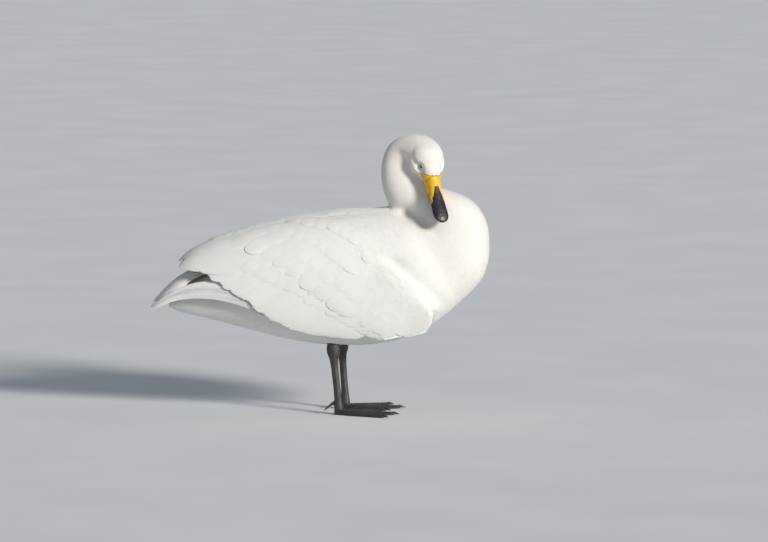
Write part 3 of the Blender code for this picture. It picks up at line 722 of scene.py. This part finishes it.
def lid_mask(points):
    """The dark bare rim of the lids, and the skin in the opening."""
    mask = np.zeros(len(points))
    for side in EYES:
        mask = np.maximum(mask, clamp((1.45 - opening(points, side)) / 0.25))
    return mask


def lore_mask(points):
    """The bare yellow skin from the bill's base back to a point at the eye."""
    ahead, above, left = in_head(points)
    forward = clamp((ahead - LORE_BACK) / (BILL_BASE - LORE_BACK))
    top = -0.0045 + 0.0135 * forward
    bottom = -0.0025 - 0.0250 * forward
    beside = (np.abs(left) - 0.0225 * (1 - forward)) * 0.8  # the forehead's feathers end in a point
    inside = np.minimum(np.minimum(top - above, above - bottom), beside)
    inside = np.minimum(inside, (ahead - LORE_BACK) * 0.6)
    for side in EYES:
        inside = np.minimum(inside, (opening(points, side) - 1.7) * 0.003)
    return clamp(inside / 0.0020 + 0.5)


def leg_nodes(side):
    return [f"shank_{side}", f"foot_{side}", f"hind_toe_{side}"]


def make_leg_skin(side):
    points, faces = remeshed(leg_nodes(side), LEG_VOXEL, LEG_SEAM)
    net = Net(len(points), faces)
    points = net.smoothed(points, LEG_PASSES)
    triangles = triangles_of(faces)
    normals = point_normals(points, triangles)
    # The soles stay flat on the floor, and the scales keep their own depth above the skin.
    points = points - normals * (SCALE_DEPTH * (points[:, 2] > 0.002))[:, None]
    points[:, 2] = np.maximum(points[:, 2], 0.0)
    # The end of the leg goes up into the belly's plumage, whose skin lies deeper than its node.
    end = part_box(f"shank_{side}")[1][2]
    points[:, 2] += LEG_RISE * clamp((points[:, 2] - end + 0.006) / 0.005)
    return points, faces, triangles


def make_skin(skin, legs):
    """One object: the feathered body and the two bare legs."""
    points, faces = joined([(skin.points, skin.faces)] + [leg[:2] for leg in legs.values()])
    obj = mesh_object("skin", points, faces, skin_material(), "plumage")
    obj.data.materials.append(leg_material())
    on_leg = np.arange(len(faces)) >= len(skin.faces)
    obj.data.polygons.foreach_set("material_index", on_leg.astype(int))
    rest = np.zeros(len(points) - len(skin.points))
    for name, values in (("tint", skin.tint), ("lore", skin.lore), ("lid", skin.lid)):
        add_attribute(obj, name, np.concatenate([values, rest]))
    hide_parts(*COAT, *(node for side in SIDES for node in leg_nodes(side)))


# ---- the coat
def spaced(points, gaps):
    """Numbers of the points kept so that none is nearer to another than its gap."""
    tree = KDTree(len(points))
    for number, point in enumerate(points):
        tree.insert(point, number)
    tree.balance()
    free = np.ones(len(points), bool)
    kept = []
    for number, point in enumerate(points):
        if free[number]:
            kept.append(number)
            for _, other, _ in tree.find_range(point, gaps[number]):
                free[other] = False
    return np.array(kept, int)


def roots_on(points, triangles, wanted, pitch):
    """Random places on the wanted triangles, about a pitch apart: triangle and weights."""
    triangles = triangles[wanted]
    corners = points[triangles]
    area = np.linalg.norm(
        np.cross(corners[:, 1] - corners[:, 0], corners[:, 2] - corners[:, 0]), axis=1
    )
    crowd = area / pitch[wanted] ** 2
    count = int(crowd.sum() * DRAWN)
    chosen = RANDOM.choice(len(triangles), count, p=crowd / crowd.sum())
    weights = RANDOM.dirichlet((1, 1, 1), count)
    places = (corners[chosen] * weights[:, :, None]).sum(1)
    kept = spaced(places, pitch[wanted][chosen] * LEAST_GAP)
    return np.flatnonzero(wanted)[chosen[kept]], weights[kept], places[kept]


def blended(values, corners, weights):
    """Values at the points, read at places inside triangles."""
    return (values[corners] * weights).sum(1)


def repeated(faces, count, size):
    """One feather's faces, repeated for all of them. size is a feather's number of points."""
    return (faces + (np.arange(count) * size)[:, None, None]).reshape(-1, 4)


def sheet_faces(grid):
    return np.stack([grid[:-1, :-1], grid[1:, :-1], grid[1:, 1:], grid[:-1, 1:]], -1).reshape(-1, 4)


def traced(skin, ups, under, here, length, depth):
    """Each vane's spine, laid on the skin from its root, and the normals, lies and heights on it."""
    down = unit(skin.lie[skin.triangles].mean(1))
    spine, normals, lies = np.empty((3, len(here), len(ROWS), 3))
    heights = np.empty((len(here), len(ROWS)))
    yaw = RANDOM.normal(0, VANE_YAW, len(here))
    for row, reach in enumerate(ROWS):
        if row:
            step = (reach - ROWS[row - 1]) * length
            ahead = lies[:, row - 1] + np.cross(normals[:, row - 1], lies[:, row - 1]) * yaw[:, None]
            here, under = nearest(skin.tree, here + ahead * step[:, None])
        spine[:, row], normals[:, row], lies[:, row] = here, ups[under], down[under]
        lift = depth * (LOW_LIFT + LIFT_RISE * reach) if row else ROOT_LIFT * depth
        heights[:, row] = lift * RANDOM.uniform(0.92, 1.08, len(here))
    return spine, normals, lies, heights


def coat_piece(name, skin, wanted, material, width=0.30, camber=0.035, pitch=PITCH, share=SHARED_NORMALS):
    """Small feathers over the wanted triangles, lying down the body and overlapping."""
    size = skin.size[skin.triangles].mean(1)
    which, weights, places = roots_on(skin.points, skin.triangles, wanted, size * pitch)
    corners = skin.triangles[which]
    length = blended(skin.size, corners, weights) * RANDOM.uniform(0.85, 1.15, len(which))
    depth = blended(skin.depth, corners, weights)
    ups = unit(skin.level[skin.triangles].mean(1))
    spine, normals, lies, heights = traced(skin, ups, which, places, length, depth)
    half = (length * width * RANDOM.uniform(0.9, 1.1, len(which)))[:, None] * ROW_WIDTHS
    across = unit(np.cross(normals, lies))
    points = spine[:, :, None] + across[:, :, None] * (half[:, :, None] * COLUMNS)[..., None]
    # Rounded tip: the outer columns end a little before the middle.
    back = (ROWS**4 * ROW_WIDTHS)[:, None] * COLUMNS**2 * TIP_ROUNDING * length[:, None, None]
    points = points - lies[:, :, None] * back[..., None]
    # Each point keeps its own height over the skin, so that the coat lies close on any curve.
    feet, under = nearest(skin.tree, points)
    normals = ups[under].reshape(points.shape)
    height = heights[:, :, None] + camber * half[:, :, None] * (0.5 - COLUMNS**2)
    points = feet + normals * height[..., None]
    # A vane that would bridge a crease, with its points on both sides, is left out.
    agreement = (normals * normals[:, 2:3, 1:2]).sum(-1).min((1, 2))
    stretch = np.linalg.norm(np.diff(points, axis=1), axis=-1).max((1, 2)) / length
    kept = (agreement > LEAST_AGREEMENT) & (stretch < MOST_STRETCH)
    points, normals, length, half, corners, weights = (
        values[kept] for values in (points, normals, length, half, corners, weights)
    )
    turn, run, tint = (
        blended(values, corners, weights)[:, None, None] for values in (skin.turn, skin.run, skin.tint)
    )
    grid = np.arange(len(ROWS) * len(COLUMNS)).reshape(len(ROWS), -1)
    faces = repeated(sheet_faces(grid), len(points), grid.size)
    return vane_mesh(
        name, points, faces, material, normals, share,
        uv=(turn + COLUMNS * BAKE_PATCH / 2, run + ROWS[:, None] * BAKE_PATCH),
        reach=ROWS[:, None],
        along=(ROWS * length[:, None])[:, :, None],
        across=half[:, :, None] * COLUMNS,
        tone=RANDOM.uniform(0, 0.5, len(points))[:, None, None],
        tint=tint,
    )


def make_coat(skin):
    names = np.array(skin.names)[skin.owner[skin.triangles[:, 0]]]
    centres = skin.points[skin.triangles].mean(1)
    bare = (skin.lore[skin.triangles].max(1) > 0.35) | (skin.lid[skin.triangles].max(1) > 0.05)
    in_bill = (in_head(centres)[0] > BILL_BASE) & (names == "head")
    covered = (centres[:, 0] < UNDER_WINGS[0]) & (centres[:, 2] > UNDER_WINGS[1])
    material = vane_material("small_vanes", 0.0007, 0.2)
    for name, nodes in COAT_PIECES.items():
        coat_piece(name, skin, np.isin(names, nodes) & ~(bare | in_bill | covered), material)


# ---- wings and tail
class Hull:
    """A curved surface given by a table. A place on it is x, and the girth down from its top."""

    def __init__(self, table, box):
        along, low, high, half = table.T
        x, low = in_box(box, along, low)
        high = in_box(box, along, high)[1]
        self.xs = np.arange(x[0], x[-1], HULL_STEP)
        window = np.hanning(HULL_WINDOW)
        window /= window.sum()
        self.sizes = []
        for column in (low, high, half * box[1][1]):
            padded = np.interp(self.xs, x, column)
            padded = np.pad(padded, HULL_WINDOW // 2, mode="reflect", reflect_type="odd")
            self.sizes.append(np.convolve(padded, window, "valid"))
        turns = np.linspace(math.pi / 2, -math.pi * 0.46, 400)
        self.girths = np.arange(0, MOST_GIRTH, GIRTH_STEP)
        self.offset = np.zeros((len(self.xs), len(self.girths)))
        self.turn = np.empty_like(self.offset)
        for k, sizes in enumerate(zip(*self.sizes)):
            y, z = self.section(*sizes, turns)
            girth = np.concatenate([[0], np.cumsum(np.hypot(np.diff(y), np.diff(z)))])
            self.turn[k] = np.interp(self.girths, girth, turns)

    def section(self, low, high, half, turn):
        """Y and Z on one cross section, at turns from its top."""
        cos, sin = np.cos(turn), np.sin(turn)
        y = half * np.sign(cos) * np.abs(cos) ** (2 / HULL_POWER)
        z = (low + high) / 2 + (high - low) / 2 * np.sign(sin) * np.abs(sin) ** (2 / HULL_POWER)
        return y, z

    def fit(self, skin):
        """Lays the surface on the coat where there is an arm or a back under it."""
        x, g = np.meshgrid(self.xs, self.girths, indexing="ij")
        points, normals = self.bare_point(x, g), self.normal(x, g)
        offset = np.zeros(x.shape)
        for k in np.ndindex(x.shape):
            start = Vector(points[k] + normals[k] * FIT_REACH)
            hit = skin.tree.ray_cast(start, Vector(-normals[k]), 2 * FIT_REACH)[3]
            if hit is not None:
                offset[k] = FIT_REACH - hit + COAT["wing_left"][1] * FIT_DEPTH
        offset = np.clip(offset, *FIT_LIMITS) * clamp((x - FIT_FROM) / FIT_OVER)
        for _ in range(FIT_PASSES):
            padded = np.pad(offset, 1, mode="edge")
            offset = (padded[:-2, 1:-1] + padded[2:, 1:-1] + padded[1:-1, :-2] + padded[1:-1, 2:]) / 4
        self.offset = offset

    def fall(self, x):
        """How fast the top line drops towards the tail."""
        return np.interp(x, self.xs, np.gradient(self.sizes[1], HULL_STEP))

    def read(self, grid, x, girth):
        """The grid's value at x and girth, between its points."""
        i = np.clip((x - self.xs[0]) / HULL_STEP, 0, len(self.xs) - 1.001)
        j = np.clip(np.abs(girth) / GIRTH_STEP, 0, len(self.girths) - 1.001)
        i0, j0 = i.astype(int), j.astype(int)
        fi, fj = i - i0, j - j0
        near = grid[i0, j0] * (1 - fj) + grid[i0, j0 + 1] * fj
        far = grid[i0 + 1, j0] * (1 - fj) + grid[i0 + 1, j0 + 1] * fj
        return near * (1 - fi) + far * fi

    def bare_point(self, x, girth):
        sizes = [np.interp(x, self.xs, column) for column in self.sizes]
        y, z = self.section(*sizes, self.read(self.turn, x, girth))
        return np.stack([x, y * np.sign(girth + 1e-9), z], -1)

    def normal(self, x, girth, e=0.004):
        down = self.bare_point(x, girth + e) - self.bare_point(x, girth - e)
        on = self.bare_point(x + e, girth) - self.bare_point(x - e, girth)
        return unit(np.cross(on, down))

    def point(self, x, girth, side, lift):
        """Points on the hull raised by lift, on the side -1 (right) or 1 (left)."""
        lift = lift + self.read(self.offset, x, girth)
        point = self.bare_point(x, girth) + self.normal(x, girth) * lift[..., None]
        return point * (1, side, 1)

    def girth_at(self, x, z):
        """The girth at which the side has the height z."""
        k = int(np.clip(round((x - self.xs[0]) / HULL_STEP), 0, len(self.xs) - 1))
        heights = self.section(*(column[k] for column in self.sizes), self.turn[k])[1]
        return float(np.interp(-z, -heights, self.girths))


def along_curve(points, count):
    """Points evenly along a smooth line through the given ones."""
    points = np.array(points, float)
    place = np.linspace(0, len(points) - 1, count)
    first = np.clip(place.astype(int), 0, len(points) - 2)
    part = (place - first)[:, None]
    padded = np.concatenate([[2 * points[0] - points[1]], points, [2 * points[-1] - points[-2]]])
    a, b, c, d = (padded[first + k] for k in range(4))
    return b + 0.5 * part * (c - a + part * (2 * a - 5 * b + 4 * c - d + part * (3 * (b - c) + d - a)))


def feather_outline(reach, tip, slim):
    """Half width at reach of the length, 1 at most: slim at the quill, round at the tip."""
    body = slim + (1 - slim) * clamp(reach / 0.35) ** 0.7
    end = clamp((1 - reach) / tip)
    return body * np.sqrt(1 - (1 - end) ** 2)


def slab_faces(grid):
    """Faces of a thin closed feather: a top sheet, a bottom sheet and the edge between them."""
    top = sheet_faces(grid)[:, [0, 3, 2, 1]]
    rim = np.concatenate([grid[0, :-1], grid[:-1, -1], grid[-1, :0:-1], grid[:0:-1, 0]])
    ahead = np.roll(rim, -1)
    sides = np.stack([ahead, rim, rim + grid.size, ahead + grid.size], -1)
    return np.concatenate([top, top[:, ::-1] + grid.size, sides])


def big_feathers(
    name, hull, side, tips, length, width, angle, lift, material,
    tip, tuck=0.0018, tilt=0.025, camber=0.03, shaft=0.0, lined=False, dusk=0.0,
):
    """Large feathers on the hull, each laid from its tip forward.

    tips are (x, girth). length, angle and lift can have a value for each feather. angle and lift
    are pairs, at the quill and at the tip; an angle is from level towards the floor. tip is how
    much of a feather rounds off, tuck presses its rim down, tilt raises its lower edge and camber
    bows it. shaft is the shaft's place across, the last argument greys the vane beside it with
    painted shade where the edge of the feather over it lies, and lined slants the ends, so that
    together they make one even edge.
    """
    reach = np.sin(np.linspace(0, math.pi / 2, BIG_ROWS))  # rows lie closest at the tip, which is round
    across = np.linspace(-1, 1, BIG_COLUMNS)
    count = len(tips)
    length = np.broadcast_to(length, count)
    theta = angle[0][:, None] + (angle[1] - angle[0])[:, None] * reach
    x, girth = np.empty((2, count, BIG_ROWS))
    x[:, -1], girth[:, -1] = tips.T
    for row in range(BIG_ROWS - 1, 0, -1):
        step = (reach[row] - reach[row - 1]) * length
        fall = hull.fall(x[:, row]) * clamp(np.abs(girth[:, row]) / 0.06)
        cos, sin = np.cos(theta[:, row]), np.sin(theta[:, row])
        x[:, row - 1] = x[:, row] + cos * step
        girth[:, row - 1] = girth[:, row] - (sin - cos * fall) * step
    slant = np.zeros(count)
    if lined:
        run = unit(np.gradient(tips, axis=0))
        cos, sin = np.cos(theta[:, -1]), np.sin(theta[:, -1])
        slope = (-run[:, 0] * cos + run[:, 1] * sin) / (run[:, 0] * sin + run[:, 1] * cos)
        slant = np.clip(slope, -1.0, 1.0)
    wavy = 1 + 0.03 * np.sin(reach * RANDOM.uniform(9, 16, (count, 1)) + RANDOM.uniform(0, 6, (count, 1)))
    half = (width / 2 * feather_outline(reach, tip, QUILL_WIDTH) * wavy)[:, :, None]
    offset = half * (across - shaft)
    further = slant[:, None, None] * offset * reach[:, None] ** 4
    cos, sin = np.cos(theta)[:, :, None], np.sin(theta)[:, :, None]
    vane_x = x[:, :, None] + offset * sin - further * cos
    vane_girth = girth[:, :, None] + offset * cos + further * sin
    low, high = (np.reshape(level, (-1, 1, 1)) for level in lift)
    height = low + (high - low) * reach[:, None] ** 0.5
    height = height + camber * half * (1 - across**2) + tilt * half * across
    height = height + RIDGE_HEIGHT * bell(across - shaft, 0.10) * (1 - reach[:, None])
    ripple = np.sin(across * 7 + RANDOM.uniform(0, 6, (count, 1, 1)) + reach[:, None] * 9)
    height = height + RIPPLE_HEIGHT * ripple
    height = height - tuck * np.maximum(clamp((reach[:, None] - 0.72) / 0.28) ** 2, np.abs(across) ** 6)
    top = hull.point(vane_x, vane_girth, side, height)
    bottom = hull.point(vane_x, vane_girth, side, height - VANE_THICK)
    ways = hull.normal(vane_x, vane_girth) * (1, side, 1)
    grid = np.arange(BIG_ROWS * BIG_COLUMNS).reshape(BIG_ROWS, -1)
    faces = repeated(slab_faces(grid), count, 2 * grid.size)[:, ::side]
    root_x = (x[:, 0] - hull.xs[0]) / (hull.xs[-1] - hull.xs[0])
    root_g = 0.5 + 0.49 * side * np.clip(girth[:, 0] / MOST_GIRTH, -1, 1)
    root_x, root_g, tone = (
        values[:, None, None, None] for values in (root_x, root_g, RANDOM.uniform(0, 0.6, count))
    )
    return vane_mesh(
        name, np.stack([top, bottom], 1), faces, material, np.stack([ways, -ways], 1), SHARED_NORMALS,
        uv=(root_g + across * BAKE_PATCH / 2, root_x + reach[:, None] * BAKE_PATCH),
        reach=reach[:, None],
        along=(reach * length[:, None])[:, None, :, None],
        across=offset[:, None],
        tone=tone,
        # painted shade beside the shaft, under the edge of the feather over it
        dusk=dusk * bell(across - 0.25, 0.3),
        tint=0.04,
    )


# The tracts of the folded wing, from the lowest layer up. tips: places along and up the wings'
# box, from the first feather to the last. length: of the first and the last. angle and lift: at
# the quill and at the tip, angle in degrees from level to down, or a pair, for first and last.
TRACTS = (
    # The primaries carry painted shade where they overlap.
    dict(name="primaries", number=5, length=(0.235, 0.270), width=0.026, angle=((-58, -47), 30),
         lift=(-0.014, -0.008), tip=0.12, shaft=0.35, camber=0.10, tilt=0.22, dusk=0.5,
         tips=((0.048, 0.326), (0.000, 0.247))),
    dict(name="secondaries", number=38, length=(0.225, 0.120), width=0.040, angle=(14, 34),
         lift=(-0.006, -0.003), tip=0.08, shaft=0.15, lined=True,
         tips=((0.180, 0.582), (0.260, 0.460), (0.326, 0.366), (0.396, 0.236), (0.477, 0.135),
               (0.547, 0.078), (0.620, 0.049), (0.683, 0.031))),
    dict(name="tertials", number=5, length=(0.30, 0.24), width=0.070, angle=(2, 24),
         lift=(-0.006, -0.001), tip=0.26, tilt=0.01,
         tips=((0.103, 0.625), (0.116, 0.596), (0.164, 0.582), (0.221, 0.578))),
    dict(name="inner_tertials", number=3, length=(0.24, 0.18), width=0.070, angle=(0, 10),
         lift=(-0.006, 0.000), tip=0.22, tips=((0.170, 0.726), (0.254, 0.784), (0.334, 0.834))),
    dict(name="greater_coverts", number=16, length=(0.115, 0.085), width=0.044, angle=(16, 36),
         lift=(-0.004, -0.0005), tip=0.24, tuck=0.0026,
         tips=((0.285, 0.611), (0.355, 0.542), (0.424, 0.470), (0.494, 0.402), (0.564, 0.312),
               (0.634, 0.225), (0.691, 0.153), (0.739, 0.085), (0.787, 0.045))),
    dict(name="median_coverts", number=18, length=(0.080, 0.065), width=0.038, angle=(14, 38),
         lift=(-0.004, 0.0000), tip=0.30,
         tips=((0.358, 0.640), (0.437, 0.553), (0.517, 0.474), (0.596, 0.373), (0.675, 0.258),
               (0.739, 0.178), (0.795, 0.106))),
    dict(name="lesser_coverts", number=18, length=(0.060, 0.052), width=0.026, angle=(14, 40),
         lift=(-0.008, 0.0006), tip=0.32,
         tips=((0.445, 0.665), (0.525, 0.568), (0.604, 0.467), (0.675, 0.366), (0.747, 0.272),
               (0.810, 0.186))),
    dict(name="outer_scapulars", number=9, length=(0.140, 0.085), width=0.056, angle=(10, 34),
         lift=(-0.005, 0.0032), tip=0.32, tuck=0.0032,
         tips=((0.285, 0.762), (0.358, 0.712), (0.428, 0.647), (0.483, 0.553), (0.547, 0.431),
               (0.615, 0.330), (0.658, 0.258))),
    dict(name="middle_scapulars", number=8, length=(0.120, 0.075), width=0.056, angle=(8, 34),
         lift=(-0.007, 0.0034), tip=0.36, tuck=0.0034,
         tips=((0.342, 0.834), (0.421, 0.766), (0.491, 0.690), (0.558, 0.582), (0.628, 0.474),
               (0.679, 0.402))),
    dict(name="inner_scapulars", number=8, length=(0.105, 0.070), width=0.052, angle=(5, 30),
         lift=(-0.010, 0.0034), tip=0.38, tuck=0.0034,
         tips=((0.405, 0.877), (0.485, 0.849), (0.556, 0.784), (0.625, 0.690), (0.685, 0.596))),
    dict(name="mantle", number=8, length=(0.085, 0.060), width=0.046, angle=(2, 26),
         lift=(-0.010, 0.0030), tip=0.40, tuck=0.0030,
         tips=((0.485, 0.942), (0.564, 0.935), (0.644, 0.892), (0.707, 0.805), (0.747, 0.690))),
)
JITTER = (0.0016, 0.0016, 0.03, 0.02)  # of the tip's two places, the length and the angle
LIFT_STEP = 0.0006  # every other feather of a tract lies this much higher
BACK_FEATHERS, BACK_SPAN = 48, (0.20, 0.76)  # along the wings' box
BACK_LENGTH, BACK_WIDTH, BACK_COLUMNS, BACK_LEVEL = 0.075, 0.036, (0.0, -0.017, 0.017), 0.0032
TAIL_FEATHERS, TAIL_LENGTH, TAIL_WIDTH, TAIL_SPREAD = 16, 0.205, 0.030, 0.066


def make_tract(hull, material, name, number, length, width, angle, lift, tips, **looks):
    """One tract's feathers on both wings."""
    tips = np.stack(in_box(WINGS, *along_curve(tips, number).T), 1)
    tips[:, 1] = [hull.girth_at(x, z) for x, z in tips]
    length = length[0] + (length[1] - length[0]) * np.linspace(0, 1, number)
    angle = [np.radians(np.linspace(*np.broadcast_to(a, 2), number)) for a in angle]
    lift = (lift[0], lift[1] + np.arange(number) % 2 * LIFT_STEP)
    for side, word in ((-1, "right"), (1, "left")):
        jitter = RANDOM.normal(0, 1, (number, 4)) * JITTER
        piece = big_feathers(
            f"{name}_of_the_{word}", hull, side, tips + jitter[:, :2], length * (1 + jitter[:, 2]), width,
            [a + jitter[:, 3] for a in angle], lift, material, **looks,
        )
        if name in ("primaries", "secondaries"):
            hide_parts(f"{name}_{word}")


def make_wings(skin):
    hull = Hull(WING_HULL, WINGS)
    hull.fit(skin)
    blade = vane_material("flight_vanes", 0.0011, 0.25)
    for tract in TRACTS:
        make_tract(hull, blade, **tract)
    # Along the midline, where the two wings meet, small feathers of the back lie over them.
    places = np.linspace(*in_box(WINGS, BACK_SPAN, 0)[0], BACK_FEATHERS)
    columns = np.array(BACK_COLUMNS)[np.arange(BACK_FEATHERS) % 3]
    tips = np.stack([places, columns + RANDOM.normal(0, 0.002, BACK_FEATHERS)], 1)
    turn = RANDOM.normal(0, 0.08, BACK_FEATHERS) + columns * 4
    level = BACK_LEVEL + RANDOM.uniform(-0.0003, 0.0003, BACK_FEATHERS)
    big_feathers(
        "back_feathers", hull, 1, tips, BACK_LENGTH, BACK_WIDTH, (turn, turn), (level - 0.006, level),
        blade, tip=0.42, tilt=0.0, tuck=0.0062,
    )


def make_tail():
    girths = np.linspace(-TAIL_SPREAD, TAIL_SPREAD, TAIL_FEATHERS)
    tips = np.stack([TAIL[0][0] + 0.010 + 8.0 * girths**2, girths], 1)
    tips[:, 0] += RANDOM.normal(0, 0.0008, len(tips))
    spread = girths * 1.8
    piece = big_feathers(
        "tail_feathers", Hull(TAIL_HULL, TAIL), 1, tips, TAIL_LENGTH, TAIL_WIDTH, (spread, spread),
        (-0.002, np.abs(girths) * -0.04), vane_material("tail_vanes", 0.0022, 0.35),
        tip=0.12, camber=0.10, tilt=0.10,
    )
    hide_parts("tail")


# ---- bill and eyes
def bill_shape(points, normals, upper):
    """The points of one half of the bill with its small shapes, and how black each of them is."""
    ahead, above, left = in_head(points)
    across = clamp(np.abs(left) / np.interp(ahead, *BILL_HALF_WIDTHS))
    black = bell(above + 0.0212, 0.0012) * (ahead > 0.036)
    if upper:
        slit, rim = (
            bell(ahead - NOSTRIL[0], length) * bell(above - NOSTRIL[1], height)
            for length, height in ((0.0052, 0.0016), (0.0085, 0.0038))
        )
        nail = np.hypot((ahead - NAIL_PLACE) / NAIL_LENGTH, left / NAIL_WIDTH)
        on_nail = 0.0003 * clamp((1 - nail) / 0.15) - 0.00015 * bell(nail - 1.08, 0.10)
        cutting_edge = bell(above + 0.0195, 0.0016) * across
        comb = np.sin(ahead * 2 * math.pi / COMB_PITCH) * clamp((0.120 - ahead) / 0.02)
        hollow_side = bell(above + 0.0150, 0.0030) * clamp((ahead - 0.05) / 0.02)
        push = 0.0007 * rim - 0.0030 * slit + on_nail * clamp(normals @ CROWN * 2)
        push = push + cutting_edge * (0.0005 + 0.00025 * comb) - 0.0005 * hollow_side
        front = YELLOW_TOP + (YELLOW_SIDE - YELLOW_TOP) * clamp((across - 0.26) / 0.66)
        # The nostril's slit is painted black: painted shade of the opening, which the shallow dent
        # doesn't make.
        black = np.maximum(black, slit > 0.6)
    else:
        push = -0.0014 * bell(left, 0.0035) * clamp((0.105 - ahead) / 0.02) * (normals @ CROWN < -0.3)
        front = YELLOW_UNDER
    black = np.maximum(black, clamp((ahead - front) / 0.005 + 0.5))
    return points + normals * push[:, None], black


def make_bill():
    material = bill_material()
    for name, node in (("bill_top", "bill_upper"), ("bill_bottom", "bill_lower")):
        points, faces = remeshed([node], BILL_VOXEL, 0.0)
        net = Net(len(points), faces)
        points = net.smoothed(points, BILL_PASSES)
        normals = point_normals(points, triangles_of(faces))
        points, black = bill_shape(points, normals, node == "bill_upper")
        piece = mesh_object(name, points, faces, material, "bill")
        add_attribute(piece, "black", net.averaged(black, 1))
        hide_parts(node)


def make_eyes():
    """Balls with a bulging clear front: the pupil, and the iris round it."""
    material = eye_material()
    tilt = np.linspace(0, math.pi, EYE_RINGS + 1)
    turn = np.linspace(0, 2 * math.pi, EYE_SPOKES, endpoint=False)[:, None]
    radius = EYE_RADIUS + 0.0005 * bell(tilt, 0.75)
    faces = []
    for j in range(EYE_SPOKES):
        n = (j + 1) % EYE_SPOKES
        faces.append((0, 1 + j, 1 + n))
        for k in range(EYE_RINGS - 2):
            low, high = 1 + k * EYE_SPOKES, 1 + (k + 1) * EYE_SPOKES
            faces.append((low + j, high + j, high + n, low + n))
        faces.append((high + j, high + EYE_SPOKES, high + n))
    for side in EYES:
        centre, _, _, out = eye_frame(side)
        a = unit(np.cross(out, CROWN))
        ring = a * np.cos(turn) + np.cross(out, a) * np.sin(turn)
        ways = out * np.cos(tilt)[:, None, None] + ring * np.sin(tilt)[:, None, None]
        grid = centre + ways * radius[:, None, None]
        points = np.concatenate([grid[0, :1], grid[1:-1].reshape(-1, 3), grid[-1, :1]])
        piece = mesh_object(f"eyeball_{side}", points, faces, material, "eye")
        pupil = np.repeat(tilt < PUPIL_ANGLE, [1] + [EYE_SPOKES] * (EYE_RINGS - 1) + [1])
        add_attribute(piece, "pupil", pupil.astype(float))
        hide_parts(f"eye_{side}")


# ---- legs
class LegCoat:
    """What coat_piece needs to know about a leg: small scales, running down and out."""

    def __init__(self, points, triangles, side):
        self.points, self.triangles = points, triangles
        self.normals = self.level = point_normals(points, triangles)
        ankle = ankle_of(side)
        flat = (points - ankle) * (1, 1, 0)
        on_foot = clamp((0.026 - points[:, 2]) / 0.010)[:, None]
        self.lie = on_surface(unit(flat) * on_foot + np.array((0, 0, -1.0)) * (1 - on_foot), self.normals)
        self.size = np.full(len(points), SCALE_LENGTH)
        self.depth = np.full(len(points), SCALE_DEPTH)
        self.tint = np.zeros(len(points))
        reach = np.linalg.norm(points - ankle, axis=1)
        self.run = 0.01 + 0.97 * reach / reach.max()
        self.turn = 0.5 + 0.49 * np.arctan2(flat[:, 1], flat[:, 0]) / math.pi
        self.tree = surface(points, triangles)


def ankle_of(side):
    """The place on the floor under the middle of the shank."""
    return middle(f"shank_{side}") * (1, 1, 0)


def make_claws(side, material):
    nodes = [f"claw_{toe}_{side}" for toe in ("inner", "middle", "outer", "hind")]
    claws = []
    for node in nodes:
        points, faces = remeshed([node], CLAW_VOXEL, 0.0)
        points = Net(len(points), faces).smoothed(points, CLAW_PASSES)
        tip = points[np.argmax(np.linalg.norm(points - ankle_of(side), axis=1))]
        claws.append((tip + (points - tip) * CLAW_GROWTH, faces))
    piece = mesh_object(f"claws_of_the_{side}", *joined(claws), material, "claw")
    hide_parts(*nodes)


def make_legs(legs):
    scales, horn = scale_material(), claw_material()
    for side, (points, _, triangles) in legs.items():
        coat = LegCoat(points, triangles, side)
        not_sole = coat.normals[triangles].mean(1)[:, 2] > -0.5
        wanted = (points[triangles].mean(1)[:, 2] > 0.003) & not_sole
        piece = coat_piece(
            f"scales_{side}", coat, wanted, scales, width=0.46, camber=0.22, pitch=0.70, share=0.0
        )
        make_claws(side, horn)


# ---- the studio
def make_studio():
    turns = np.linspace(0, 2 * math.pi, FLOOR_SIDES, endpoint=False)
    edge = [(FLOOR_RADIUS * math.cos(a), FLOOR_RADIUS * math.sin(a), -FLOOR_DROP) for a in turns]
    faces = [(0, 1 + k, 1 + (k + 1) % FLOOR_SIDES) for k in range(FLOOR_SIDES)]
    mesh = bpy.data.meshes.new("floor")
    mesh.from_pydata([(0, 0, -FLOOR_DROP)] + edge, [], faces)
    mesh.materials.append(floor_material())
    placed("floor", mesh)
    sun = bpy.data.lights.new("key", "SUN")
    sun.energy, sun.angle, sun.color = SUN_POWER, SUN_ANGLE, SUN_COLOUR
    placed("key", sun).rotation_euler = TO_THE_SUN.to_track_quat("Z", "Y").to_euler()
    world = bpy.data.worlds.new("studio")
    world.use_nodes = True
    background = world.node_tree.nodes["Background"]
    background.inputs["Color"].default_value = SKY_COLOUR
    background.inputs["Strength"].default_value = SKY_POWER
    bpy.context.scene.world = world
    view = bpy.context.scene.view_settings
    view.view_transform = "Standard"
    view.look = "None"


def make_camera():
    data = bpy.data.cameras.new("camera")
    data.sensor_width = SENSOR
    data.lens = SENSOR * CAMERA_DISTANCE / VIEW_WIDTH
    data.clip_end = 400.0
    camera = placed("camera", data)
    back = Vector((0, -math.cos(CAMERA_RISE), math.sin(CAMERA_RISE)))
    camera.location = CAMERA_TARGET + back * CAMERA_DISTANCE
    camera.rotation_euler = back.to_track_quat("Z", "Y").to_euler()
    bpy.context.scene.camera = camera


def main():
    make_camera()
    make_studio()
    skin = Skin()
    legs = {side: make_leg_skin(side) for side in SIDES}
    make_skin(skin, legs)
    make_coat(skin)
    make_wings(skin)
    make_tail()
    make_bill()
    make_eyes()
    make_legs(legs)


main()
